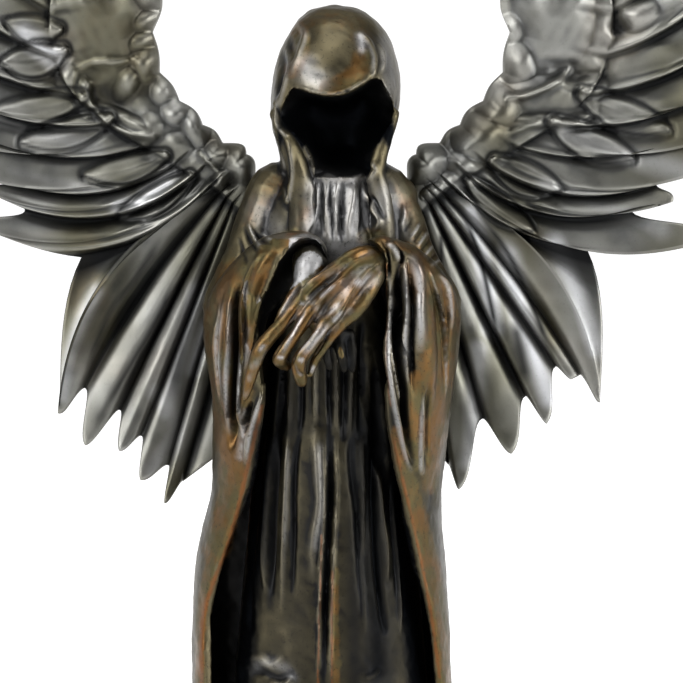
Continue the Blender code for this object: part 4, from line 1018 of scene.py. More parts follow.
def add_node(
    tree: bpy.types.NodeTree, kind: str, settings: dict | None = None, out: int | str = 0, **inputs: object
) -> bpy.types.NodeSocket | None:
    """Adds a node with its settings and links.

    Args:
        tree: The material's node tree.
        kind: The node's class name after ShaderNode.
        settings: Attributes to set on the node.
        out: Which output the next node reads.
        **inputs: Socket name, or i0, i1, ... for its place, to a value or to an output socket.

    Returns:
        The output socket, or nothing for the last node.
    """
    made = tree.nodes.new("ShaderNode" + kind)
    for key, value in (settings or {}).items():
        setattr(made, key, value)
    for key, value in inputs.items():
        socket = made.inputs[int(key[1:])] if key[1:].isdigit() else made.inputs[key.replace("_", " ")]
        if isinstance(value, bpy.types.NodeSocket):
            tree.links.new(value, socket)
        else:
            socket.default_value = value
    return made.outputs[out] if made.outputs else None


COLOURS = {"data_type": "RGBA"}
EASED = {"interpolation_type": "SMOOTHSTEP"}
TIMES = {"operation": "MULTIPLY"}
TIMES_PLUS = {"operation": "MULTIPLY_ADD"}
GREATER = {"operation": "MAXIMUM"}


@dataclass(frozen=True)
class CastBronze:
    """Cold-cast bronze: resin filled with bronze powder, cast in a mould and stained, then rubbed back.

    The stain stays black in the hollows, the rubbing shows warm metal on what stands proud, and a wax
    gives the whole a satin gloss. Painted shade and painted highlights are laid over it through the black and
    silver inks.
    """

    name: str
    stain: str = "#0c0b0a"
    body: str = "#2f2b1e"
    rubbed: str = "#534c38"
    warm: str = "#553c1c"
    olive: str = "#423c24"
    rust: str = "#603a1c"
    # the silver ink's colour: rubbed bare metal and painted highlights
    silver: str = "#959596"
    # the black ink's colour: stain and painted shade
    soot: str = "#07080a"
    roughness: float = 0.37
    metallic: float = 0.85
    cloud_mm: float = 9.0
    blotch_mm: float = 2.4
    grain_mm: float = 0.9
    mottle: float = 1.2
    dots: float = 0.5
    pit: float = 0.10

    def material(self) -> bpy.types.Material:
        """Builds the finish from the relief and the inks that its mesh carries, painted shade and painted
        highlights among them.

        Returns:
            The material: stain in the hollows, rubbed metal on the heights, brown and rust where they
            were brushed on, bare bright metal where the rubbing went through, and a satin wax.
        """
        made = bpy.data.materials.new(self.name)
        made.use_nodes = True
        tree = made.node_tree
        tree.nodes.clear()
        where = add_node(tree, "TexCoord", out="Object")
        # clouds in the stain, blotches where it dried, and the specks of the cast
        cloud, blotch, speck = (
            add_node(
                tree, "TexNoise", out="Fac", Vector=where, Scale=1 / (size * STEP), Detail=4.0,
                Roughness=0.65)
            for size in (self.cloud_mm, self.blotch_mm, self.grain_mm)
        )
        relief, brown, rust, black, silver = (
            add_node(tree, "Attribute", {"attribute_name": name}, "Fac")
            for name in ("relief", *(ink.value for ink in Ink))
        )
        # hollows keep the stain and what stands proud is rubbed
        height = add_node(tree, "Math", TIMES_PLUS, i0=cloud, i1=0.5, i2=-0.25)
        height = add_node(tree, "Math", {"operation": "ADD"}, i0=height, i1=relief)
        spotted = add_node(tree, "Math", TIMES_PLUS, i0=blotch, i1=self.mottle, i2=-0.5 * self.mottle)
        high = add_node(tree, "MapRange", EASED, i0=height, i1=-0.16, i2=0.14)
        top = add_node(tree, "MapRange", EASED, i0=height, i1=0.10, i2=0.60, i4=0.8)
        colour = add_node(tree, "Mix", COLOURS, 2, i0=high, i6=linear(self.stain), i7=linear(self.body))
        colour = add_node(tree, "Mix", COLOURS, 2, i0=top, i6=colour, i7=linear(self.rubbed))
        # brown glaze, from ochre to olive
        glaze = add_node(tree, "Math", TIMES_PLUS, i0=spotted, i1=0.5, i2=brown)
        glaze = add_node(tree, "MapRange", EASED, i0=glaze, i1=0.15, i2=0.60, i4=0.95)
        hue = add_node(tree, "MapRange", EASED, i0=cloud, i1=0.36, i2=0.64)
        hue = add_node(tree, "Mix", COLOURS, 2, i0=hue, i6=linear(self.warm), i7=linear(self.olive))
        colour = add_node(tree, "Mix", COLOURS, 2, i0=glaze, i6=colour, i7=hue)
        # rust-red on the worn edges
        rusty = add_node(tree, "Math", {"operation": "ADD"}, i0=rust, i1=spotted)
        rusty = add_node(tree, "MapRange", EASED, i0=rusty, i1=0.30, i2=1.0, i4=0.8)
        colour = add_node(tree, "Mix", COLOURS, 2, i0=rusty, i6=colour, i7=linear(self.rust))
        # bright bare metal on the rubbed ridges, and painted highlights, where the silver ink lies
        worn = add_node(tree, "Math", {"operation": "ADD"}, i0=relief, i1=spotted)
        worn = add_node(tree, "MapRange", EASED, i0=worn, i1=-0.35, i2=0.25, i3=0.35)
        worn = add_node(tree, "Math", TIMES, i0=worn, i1=silver)
        colour = add_node(tree, "Mix", COLOURS, 2, i0=worn, i6=colour, i7=linear(self.silver))
        # dark specks, then the black ink: stain and painted shade
        dots = add_node(tree, "MapRange", EASED, i0=speck, i1=0.56, i2=0.68, i4=self.dots)
        colour = add_node(tree, "Mix", COLOURS, 2, i0=dots, i6=colour, i7=linear(self.stain))
        colour = add_node(tree, "Mix", COLOURS, 2, i0=black, i6=colour, i7=linear(self.soot))
        # the wax is thinner on the bright metal and the painted highlights, and where the black ink lies,
        # stain and painted shade alike, the surface gives back no light of its own
        gloss = add_node(
            tree, "MapRange", EASED, i0=cloud, i1=0.3, i2=0.7, i3=self.roughness - 0.05,
            i4=self.roughness + 0.10)
        gloss = add_node(tree, "Math", TIMES_PLUS, i0=worn, i1=0.10, i2=gloss)
        gloss = add_node(tree, "Math", TIMES_PLUS, i0=black, i1=0.15, i2=gloss)
        metal = add_node(tree, "Math", GREATER, i0=black, i1=self.metallic)
        bump = add_node(tree, "Bump", Strength=self.pit, Distance=0.0004, Height=speck)
        shader = add_node(
            tree, "BsdfPrincipled", Base_Color=colour, Metallic=metal, Roughness=gloss, Normal=bump)
        add_node(tree, "OutputMaterial", Surface=shader)
        return made


@dataclass(frozen=True)
class StudioPaper:
    """Matt background paper or card."""

    name: str = "studio_paper"
    colour: str = "#f2f2f2"
    faded: str = "#eeeeee"
    glow: float = 0.0
    foot: float = 0.0

    def material(self) -> bpy.types.Material:
        """Builds the paper with a faint mottling.

        Returns:
            The material: the paper's colour, a little faded in soft clouds.
        """
        made = bpy.data.materials.new(self.name)
        made.use_nodes = True
        tree = made.node_tree
        tree.nodes.clear()
        where = add_node(tree, "TexCoord", out="Object")
        cloud = add_node(tree, "TexNoise", out="Fac", Vector=where, Scale=6.0)
        colour = add_node(tree, "Mix", COLOURS, 2, i0=cloud, i6=linear(self.colour), i7=linear(self.faded))
        white = (1.0, 1.0, 1.0, 1.0)
        glow = self.glow
        # a glow that fades out from the ground to the foot's height; on the black card this is painted light
        if self.foot:
            rise = add_node(tree, "SeparateXYZ", out="Z", Vector=where)
            glow = add_node(tree, "MapRange", EASED, i0=rise, i1=0.0, i2=self.foot, i3=self.glow, i4=0.0)
        shader = add_node(
            tree, "BsdfPrincipled", Base_Color=colour, Roughness=0.9, Emission_Color=white,
            Emission_Strength=glow
        )
        add_node(tree, "OutputMaterial", Surface=shader)
        return made


def dressed(obj: bpy.types.Object, finish: bpy.types.Material, node: str) -> None:
    """Gives a finished piece its material and its place in the frame.

    Args:
        obj: The piece.
        finish: Its material.
        node: The frame's node that it stands for.
    """
    obj.data.materials.clear()
    obj.data.materials.append(finish)
    activate(obj)
    bpy.ops.object.shade_smooth_by_angle(angle=math.radians(62))
    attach(obj, "root")
    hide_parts(node)
    obj.data.calc_loop_triangles()
    LOG.info("%s: %d triangles", obj.name, len(obj.data.loop_triangles))


# The figure


@dataclass
class HoodedFigure:
    """Hood, robe, cloak, sleeves and hands, one casting."""

    grain: float = 0.44
    hand_grain: float = 0.36
    front_triangles: int = 118000
    back_triangles: int = 32000
    hand_triangles: int = 20000
    finish: CastBronze = field(default_factory=lambda: CastBronze("cold_cast_bronze"))

    def build(self) -> bpy.types.Object:
        """Models the body and both hands and joins them.

        Returns:
            The figure's object.
        """
        body = self.body()
        hands = [self.hand(f"hand_{i}", bones) for i, bones in enumerate((UPPER_HAND, LOWER_HAND))]
        return joined("hooded_figure", [body, *hands])

    def cloak(self) -> bpy.types.Object:
        """The bell sleeves and the back of the robe: a shell that stands open down the front.

        Returns:
            The shell's object.
        """
        rim, side, buried = 2.4, 7.0, 15.0
        heights = np.linspace(CLOAK[0][0], CLOAK[-1][0], 90)
        rings = []
        for height, sizes in zip(heights, smooth(CLOAK, heights)):
            left, right, forwards, backwards, left_edge, right_edge = sizes
            start = math.pi + math.acos(min(-left_edge / left, 0.995))
            end = math.tau - math.acos(min(right_edge / right, 0.995))
            turns = np.linspace(start, end - math.tau, 84)
            outer, inner = [], []
            for share, turn in zip(np.linspace(0, 1, len(turns)), turns):
                c, s = math.cos(turn), math.sin(turn)
                across = right if c > 0 else left
                along = backwards if s > 0 else forwards
                from_edge = min(share, 1 - share)
                wall = float(np.interp(from_edge, (0, 0.12, 0.22, 0.32), (rim, rim + 0.6, side, buried)))
                outer.append(at(across * c, along * s, height))
                inner.append(at((across - wall) * c, (along - wall) * s, height))
            rings.append(outer + inner[::-1])
        return loft("cloak", rings)

    def mouth(self, name: str, outline: Path, depths: Path) -> bpy.types.Object:
        """What is cut out behind an opening that the camera looks into.

        Args:
            name: The tool's name.
            outline: The opening as the camera sees it.
            depths: Rows of (y, share of the outline).

        Returns:
            The cutting tool.
        """
        middle = np.mean(outline, axis=0)
        rings = []
        for y, share in depths:
            ring = middle + (np.array(outline) - middle) * share
            rings.append([at(*sighted(x, y, z)) for x, z in ring])
        return loft(name, rings)

    def hood_hollow(self) -> bpy.types.Object:
        """The empty face of the hood, narrowing as it goes in."""
        return self.mouth("hood_hollow", HOOD_MOUTH, HOOD_DEPTHS)

    def body(self) -> bpy.types.Object:
        """The robed body without its hands, carved on the front and the back.

        Returns:
            The body's object.
        """
        lumps = [
            loft("robe", oval_rings([(z, x, x, front, back) for z, x, front, back in ROBE], 80)),
            loft("hood", oval_rings(HOOD, 70)),
            self.cloak(),
            *(limb(name, path) for name, path in LIMBS.items()),
            *(ball(name, *sizes) for name, sizes in BALLS.items()),
        ]
        body = fused("body", lumps, self.grain)
        tools = [limb("sleeve_hollow", path) for path in SLEEVE_HOLLOWS]
        tools += [self.mouth("cuff_mouth", outline, CUFF_DEPTHS) for outline in CUFF_MOUTHS]
        for tool in (self.hood_hollow(), *tools):
            cut(body, tool)
        LOG.info("body blocked out: %d points", len(body.data.vertices))
        skin = Surface(body)
        skin.soften(6)
        skin.write()
        skin = Surface(body)
        skin.normals = skin.spread(skin.normals, 6)
        skin.normals /= np.maximum(np.linalg.norm(skin.normals, axis=1), 1e-6)[:, None]
        skin.carve(crisper(LEFT_SLEEVE + RIGHT_SLEEVE, 0.75, 1.5), depth=(-90, -6))
        skin.carve(crisper(ROBE_FRONT + ROBE_UPPER, 0.85, 1.0), depth=(-90, 0))
        skin.carve(CHEST, depth=(-90, 0), sharp=1.6)
        skin.carve(HOOD_FOLDS, depth=(-90, 2))
        skin.carve(crisper(ARM_CREASES, 1.0, 0.6), depth=(-90, 4), sharp=1.8)
        skin.carve(BACK_FOLDS, facing=1)
        cast = 0.10 * noise(skin.points, 9, 3) + 0.05 * noise(skin.points, 3.2, 4)
        skin.points += skin.normals * cast[:, None]
        skin.write()
        cut(body, self.saw(), "EXACT")
        thin_side(body, lambda face: face.normal.y > 0.25, self.back_triangles)
        return thinned(body, self.front_triangles + self.back_triangles)

    def saw(self) -> bpy.types.Object:
        """What is sawn off under the hem.

        Returns:
            The block's object.
        """
        deselect()
        bpy.ops.mesh.primitive_cube_add(size=0.2, location=(0, 0, FOOT - 0.1))
        return bpy.context.object

    def hand(self, name: str, bones: list[Path]) -> bpy.types.Object:
        """One hand, fused from its wrist and bones; the upper hand is also given tendons.

        Args:
            name: The hand's name.
            bones: The lines of the wrist, palm and fingers.

        Returns:
            The hand's object.
        """
        limbs = [limb(f"{name}_{i}", sighted_path(path)) for i, path in enumerate(bones)]
        made = fused(name, limbs, self.hand_grain)
        skin = Surface(made)
        skin.soften(4)
        skin.write()
        skin = Surface(made)
        if bones is UPPER_HAND:
            skin.carve(HANDS)
        skin.points += skin.normals * (0.05 * noise(skin.points, 2.4, 5))[:, None]
        skin.write()
        return thinned(made, self.hand_triangles)

    def dress(self, obj: bpy.types.Object) -> None:
        """Works out where the stain, the rubbing, the painted shade and the painted highlights lie, and gives
        the figure its finish.

        Args:
            obj: The object that build gave.
        """
        skin = Surface(obj)
        skin.store("relief", skin.relief(40))
        x, y, z = skin.points.T
        hands = (y < -23.5) & (z > 134) & (z < 182) & (x > -25) & (x < 13.6)
        upper = hands & (z > 176.8 + (x - 5) * 0.95 - 34) & ~((x < -1) & (z > 170.5 + 0.75 * (x + 8)))
        wrist = hands & ~upper & (x > -11.4) & (x < -1) & (z > 165)
        fingers = (y < -22.5) & (y > -28.6) & (z > 140) & (z < 159.5) & (x > -4) & (x < 8)
        proud = skin.relief(14)
        worn = {ink: skin.brushed(ink) for ink in Ink}
        # painted shade in the deep gaps of the hands, between the fingers
        worn[Ink.BLACK][hands] = np.clip(-proud[hands] * 1.4 - 0.42, 0, 0.9)
        worn[Ink.SILVER][hands] = 0
        worn[Ink.SILVER][wrist] = 0.8
        worn[Ink.SILVER][upper] = np.clip(
            0.12 - 1.1 * proud[upper] + 0.15 * noise(skin.points[upper], 6, 42), 0, 0.6)
        worn[Ink.BROWN][upper] = np.clip(
            0.75 + 1.5 * proud[upper] + 0.2 * noise(skin.points[upper], 6, 41), 0.3, 1)
        # fold ridges take silver, rubbed metal and painted highlight, and fold grooves take black, stain and
        # painted shade
        for folds, bright, dark in FOLD_WEAR:
            here = hands if folds in (HANDS, HAND_SHEEN) else ~hands
            for ink, strength in ((Ink.SILVER, bright), (Ink.BLACK, dark)):
                line = skin.traced(folds, ink is Ink.SILVER) * strength * here
                worn[ink] = np.maximum(worn[ink], line)
        # the lower hand's fingers, behind the upper hand, in painted shade
        worn[Ink.BROWN][fingers] = 0
        worn[Ink.BLACK][fingers] = 0.92
        # painted shade inside the hood and the sleeves and between the sleeves and the robe
        worn[Ink.BLACK] = np.maximum(worn[Ink.BLACK], self.shadowed(skin))
        for ink, laid in worn.items():
            skin.store(ink.value, laid)
        dressed(obj, self.finish.material(), "reaper_figure")

    def shadowed(self, skin: Surface) -> np.ndarray:
        """How black the painted shade makes each point: inside the hood, in the sleeves and between the
        sleeves and the robe.

        Args:
            skin: The figure's surface.

        Returns:
            One value for each point, from 0 to 1.
        """
        x, y, z = skin.points.T
        middle_x, middle_z = HOOD_MOUTH_CENTRE
        mouth = np.hypot((x - middle_x) / 15.5, (z - middle_z) / 14.5)
        inside = (mouth < 1.05) & (y > -12.5 - 4.5 * (z - 200) / 20) & (z > 198.5)
        inside &= (skin.normals[:, 1] < 0.35) & (y < 9)
        heights = np.clip(z, CLOAK[0][0], CLOAK[-1][0])
        sizes = smooth(CLOAK, heights)
        left, right, forwards, _, left_edge, right_edge = sizes.T[:6]
        across = np.where(x > 0, right, left)
        depth = np.clip(1 - np.hypot(x / across, y / forwards), 0, 1) * forwards
        between = (x > left_edge + 0.6) & (x < right_edge - 0.6) & (y < -2) & (z < 182)
        core = np.interp(z, (0, 56, 90, 120, 150, 180), (23, 19.5, 16.5, 13.5, 11, 10.5))
        gutter = np.clip((np.abs(x + 0.5) - core) / 3.0, 0, 1)
        black = np.where(between & (depth > 1.6), np.clip(gutter, 0, 1), 0.0)
        black = np.maximum(black, inside.astype(float))
        return np.clip(skin.spread(black, 2), 0, 1)


# The wings

ARM_INNER = [(-15.0, 188.5), (-20.0, 196.5), (-22.1, 202.9), (-24.6, 206.8), (-30.5, 209.0), (-34.7, 213.0),
             (-39.5, 218.0), (-44.5, 223.6), (-48.0, 230.3), (-49.3, 239.3), (-47.5, 247.6), (-44.5, 256.1),
             (-40.0, 266.7), (-34.4, 277.1), (-27.7, 284.1)]
ARM_OUTER = [(-18.0, 183.5), (-25.5, 189.5), (-31.0, 195.0), (-34.4, 197.3), (-39.5, 200.1), (-45.6, 203.5),
             (-53.5, 208.5), (-63.3, 214.7), (-71.7, 222.5), (-76.4, 232.3), (-78.1, 243.5), (-75.9, 256.1),
             (-68.9, 270.1), (-56.3, 282.7), (-40.9, 291.1)]
ARM_BULGE = [(0, 3.2), (0.2, 5.0), (0.45, 4.6), (0.7, 4.0), (1, 2.2)]
LOWER_PLEATS = [
    # root on the arm, bow of the spine, fall of the valley, scoop of the edge
    (0.00, 0.02, 0.00, None),
    (0.05, 0.00, 0.00, None),
    (0.08, 0.02, 0.00, None),
    (0.105, 0.02, 0.02, None),
    (0.125, 0.04, 0.06, None),
    (0.15, 0.30, -0.18, -0.10),
    (0.23, -0.30, -0.28, None),
    (0.30, -0.27, -0.27, None),
]
TIPS = {
    Side.LEFT: [(-29.0, 122.0), (-46.8, 106.3), (-53.5, 112.9), (-59.4, 121.1), (-69.0, 122.7),
                (-76.6, 131.8),
                (-98.8, 184.4), (-96.0, 194.5)],
    Side.RIGHT: [(-29.0, 122.0), (-35.8, 110.2), (-50.5, 120.3), (-60.3, 128.8), (-67.2, 141.4),
                 (-75.3, 134.9),
                 (-105.3, 180.5), (-95.4, 191.8)],
}
NOTCHES = {
    Side.LEFT: [(-41.5, 112.4), (-45.6, 116.8), (-53.2, 125.2), (-59.3, 132.6), (-69.0, 138.7),
                (-69.9, 176.0),
                (-85.7, 189.7), (-89.5, 198.0)],
    Side.RIGHT: [(-32.8, 117.0), (-42.3, 130.1), (-54.5, 136.5), (-62.9, 144.9), (-69.8, 142.6),
                 (-71.7, 178.0),
                 (-83.6, 190.2), (-91.0, 197.4)],
}
LUMPS = {
    # knobs and hollows of the arm: place, radii, turn in degrees, height
    Side.LEFT: [
        ((-24.2, 203.4), (4.6, 5.2), 20, 3.0), ((-31.4, 205.4), (3.2, 3.0), 0, 2.0),
        ((-37.6, 213.6), (3.0, 5.0), 10, 2.6), ((-42.6, 218.2), (3.6, 3.6), 30, 2.4),
        ((-46.2, 223.4), (3.2, 3.6), 0, 2.4), ((-51.0, 230.8), (3.6, 4.4), 0, 2.4),
        ((-52.4, 237.4), (4.2, 2.6), 20, 1.8), ((-51.8, 242.4), (4.0, 2.6), 20, 1.8),
        ((-50.6, 250.4), (4.4, 3.6), 0, 2.2), ((-48.2, 259.6), (4.0, 4.2), 0, 2.2),
        ((-43.4, 269.6), (3.8, 4.0), 0, 2.0), ((-64.8, 222.8), (6.4, 4.6), -30, -2.8),
        ((-57.0, 215.2), (9.4, 1.8), -26, 2.0), ((-68.6, 221.6), (2.0, 5.4), 10, 1.8),
        ((-56.6, 225.2), (2.6, 4.8), -35, 1.8), ((-64.0, 246.0), (9.0, 13.0), 8, 3.0),
        ((-73.0, 226.4), (2.6, 3.4), 0, 1.6), ((-31.6, 197.8), (4.4, 1.8), 35, 2.0),
        ((-28.0, 197.6), (1.4, 1.8), 0, -2.4), ((-44.0, 207.4), (5.4, 3.0), 20, 1.4),
        ((-50.6, 212.2), (3.2, 3.8), 0, 1.4),
    ],
    Side.RIGHT: [
        ((-25.4, 202.9), (5.4, 4.4), -20, 3.2), ((-41.8, 209.2), (6.6, 6.0), 30, 3.2),
        ((-38.6, 201.2), (5.6, 3.6), 20, 2.2), ((-46.4, 218.8), (4.8, 4.8), 0, 2.6),
        ((-51.8, 231.8), (4.6, 5.6), 0, 2.2), ((-50.4, 240.0), (3.8, 3.8), 0, 2.0),
        ((-61.6, 244.0), (8.6, 13.0), 6, 3.0), ((-65.6, 229.2), (6.0, 2.2), 10, -2.6),
        ((-61.6, 221.6), (10.0, 4.4), 10, 2.0), ((-61.0, 215.6), (9.0, 1.8), -6, 2.0),
        ((-84.6, 244.4), (5.0, 3.4), -20, 2.0), ((-79.8, 241.4), (2.2, 2.2), 0, -2.2),
        ((-28.8, 194.6), (3.4, 2.0), -20, 1.8), ((-33.6, 197.6), (3.0, 2.4), 0, 1.6),
        ((-62.0, 252.0), (7.4, 7.4), 0, 1.8), ((-47.6, 255.0), (4.4, 4.8), 0, 2.0),
        ((-43.0, 267.6), (4.2, 4.4), 0, 2.0), ((-72.0, 224.0), (4.0, 3.0), -30, 1.8),
    ],
}
RIMS = {
    # thin raised rims of the arm: width, height, line
    Side.LEFT: [
        (1.1, 2.4, [(-67.2, 226.4), (-67.4, 220.5), (-62.2, 214.6), (-55.4, 211.2), (-48.6, 210.6)]),
        (1.0, 1.2, [(-71.0, 229.0), (-66.0, 231.0), (-58.0, 231.4), (-54.0, 233.0)]),
        (0.9, 1.4, [(-30.6, 199.6), (-34.6, 203.6), (-36.8, 206.4)]),
        (1.5, 0.8, [(-52.6, 181.3), (-58.8, 174.6), (-64.4, 166.5), (-70.6, 157.3), (-74.5, 146.3),
                    (-76.2, 136.0)]),
        (0.9, 1.2, [(-22.2, 206.0), (-19.4, 203.4), (-18.6, 198.4)]),
    ],
    Side.RIGHT: [
        (1.1, 2.2, [(-66.8, 230.0), (-62.0, 225.6), (-54.0, 222.0), (-48.0, 221.6)]),
        (1.0, 1.4, [(-48.6, 211.0), (-56.0, 213.4), (-66.0, 213.6), (-74.0, 217.6)]),
        (0.9, 1.2, [(-22.2, 206.0), (-19.4, 203.4), (-18.6, 198.4)]),
    ],
}
COVERTS = {
    # leaf-shaped feathers over the roots of the long ones: root, tip, half width
    Side.LEFT: [((-46.5, 204.6), (-68.6, 199.4), 3.6), ((-39.5, 198.8), (-58.8, 187.6), 3.4),
                ((-62.0, 215.4), (-86.0, 208.6), 4.0), ((-70.0, 221.0), (-96.0, 215.8), 4.2),
                ((-75.0, 234.0), (-91.0, 231.0), 4.6), ((-76.0, 240.0), (-90.0, 242.0), 3.6)],
    Side.RIGHT: [((-45.8, 203.0), (-63.4, 195.4), 4.4), ((-38.6, 197.4), (-56.0, 184.0), 3.2),
                 ((-62.0, 214.0), (-84.0, 204.0), 4.4), ((-70.0, 222.0), (-94.0, 212.0), 4.2)],
}
PLEATS = [(0, 2.3), (0.18, 2.6), (0.4, 1.8), (1, 1.5)]
# an upper feather across, from its thick lower rim to where the next one covers it
LAP_PLACES = (0, 0.06, 0.13, 0.22, 0.36, 0.50, 0.60, 0.80, 1.0)
LAP_HEIGHTS = (-0.85, 0.80, 1.00, 0.70, 0.45, 0.62, 0.50, -0.05, -0.95)
SHEEN = {
    # painted highlights of the long feathers, as seen from the front: width, strength, line
    Side.LEFT: [
        (2.6, 0.6, [(-38, 166), (-43, 146), (-46, 132)]), (2.4, 0.7, [(-35, 156), (-39, 144)]),
        (3.4, 0.5, [(-49, 138), (-43, 128), (-50, 116)]), (2.0, 0.5, [(-66, 166), (-72, 152), (-75, 136)]),
        (3.0, 0.35, [(-90, 200), (-74, 196), (-58, 192)]), (2.4, 0.6, [(-44, 200), (-52, 194)]),
        (3.6, 0.4, [(-96, 214), (-80, 210), (-66, 206)]),
        (3.2, 0.9, [(-86, 238), (-81, 234), (-77, 231)]), (2.0, 0.8, [(-60, 190), (-52, 192), (-46, 197)]),
    ],
    Side.RIGHT: [
        (2.6, 1.0, [(39, 188), (43, 172), (45, 156)]), (3.0, 1.0, [(49, 176), (54, 158), (61, 136)]),
        (3.0, 0.9, [(63, 180), (69, 166), (74, 150)]), (2.4, 0.5, [(41, 150), (40, 130), (38, 118)]),
        (3.4, 0.4, [(60, 196), (76, 190), (92, 184)]), (3.6, 0.4, [(66, 210), (84, 204), (98, 200)]),
    ],
}
WING_STAIN = {
    # darkened grooves of the fan below the arm: width, strength, line
    Side.LEFT: [
        (1.3, 0.8, [(-47.3, 182.7), (-50.4, 176.6), (-55.7, 168.7), (-61.3, 161.7), (-66.1, 151.1),
                    (-69.7, 143.3)]),
        (0.9, 0.8, [(-43.4, 169.6), (-48.7, 158.7), (-55.7, 146.3), (-66.1, 128.4)]),
        (2.8, 0.75, [(-34.8, 190.6), (-36.4, 171.3), (-42.6, 147.7), (-44.2, 133.7)]),
        (1.2, 0.7, [(-33.0, 198.0), (-44.0, 193.0), (-50.0, 186.0)]),
        (2.0, 0.6, [(-30.0, 150.0), (-36.0, 130.0), (-42.0, 116.0)]),
        (1.1, 0.85, [(-38.0, 178.0), (-46.0, 160.0), (-54.0, 146.0), (-60.0, 132.0)]),
        (3.0, 0.45, [(-52.0, 178.0), (-60.0, 166.0), (-66.0, 154.0), (-70.0, 144.0)]),
        (2.6, 0.7, [(-65.6, 224.4), (-61.0, 220.4), (-57.0, 217.6)]), (1.2, 0.9, [(-34.4, 197.6),
                    (-33.0, 197.2), (-31.6, 197.0)]),
    ],
    Side.RIGHT: [
        (0.9, 0.95, [(35.6, 190.3), (41.2, 177.1), (44.2, 164.8), (47.3, 150.0)]),
        (0.9, 0.9, [(39.8, 189.5), (49.3, 177.1), (56.6, 161.5), (62.4, 146.6)]),
        (1.8, 0.85, [(51.0, 158.5), (53.0, 149.0), (54.9, 139.9)]),
        (0.9, 0.8, [(43.4, 196.7), (48.0, 192.0), (55.2, 186.9)]),
        (0.9, 0.8, [(53.5, 192.8), (58.0, 188.6), (64.1, 185.8)]),
        (0.7, 0.9, [(30.8, 183.0), (30.8, 178.0), (30.8, 172.0)]),
        (2.2, 0.6, [(36.0, 140.0), (39.0, 126.0), (42.0, 118.0)]),
    ],
}


@dataclass
class Pleat:
    """One feather of a wing: where it leaves the arm, its tip and the notch that follows it."""

    root: float
    tip: Row
    notch: Row
    bow: float
    fall: float
    scoop: float | None = None


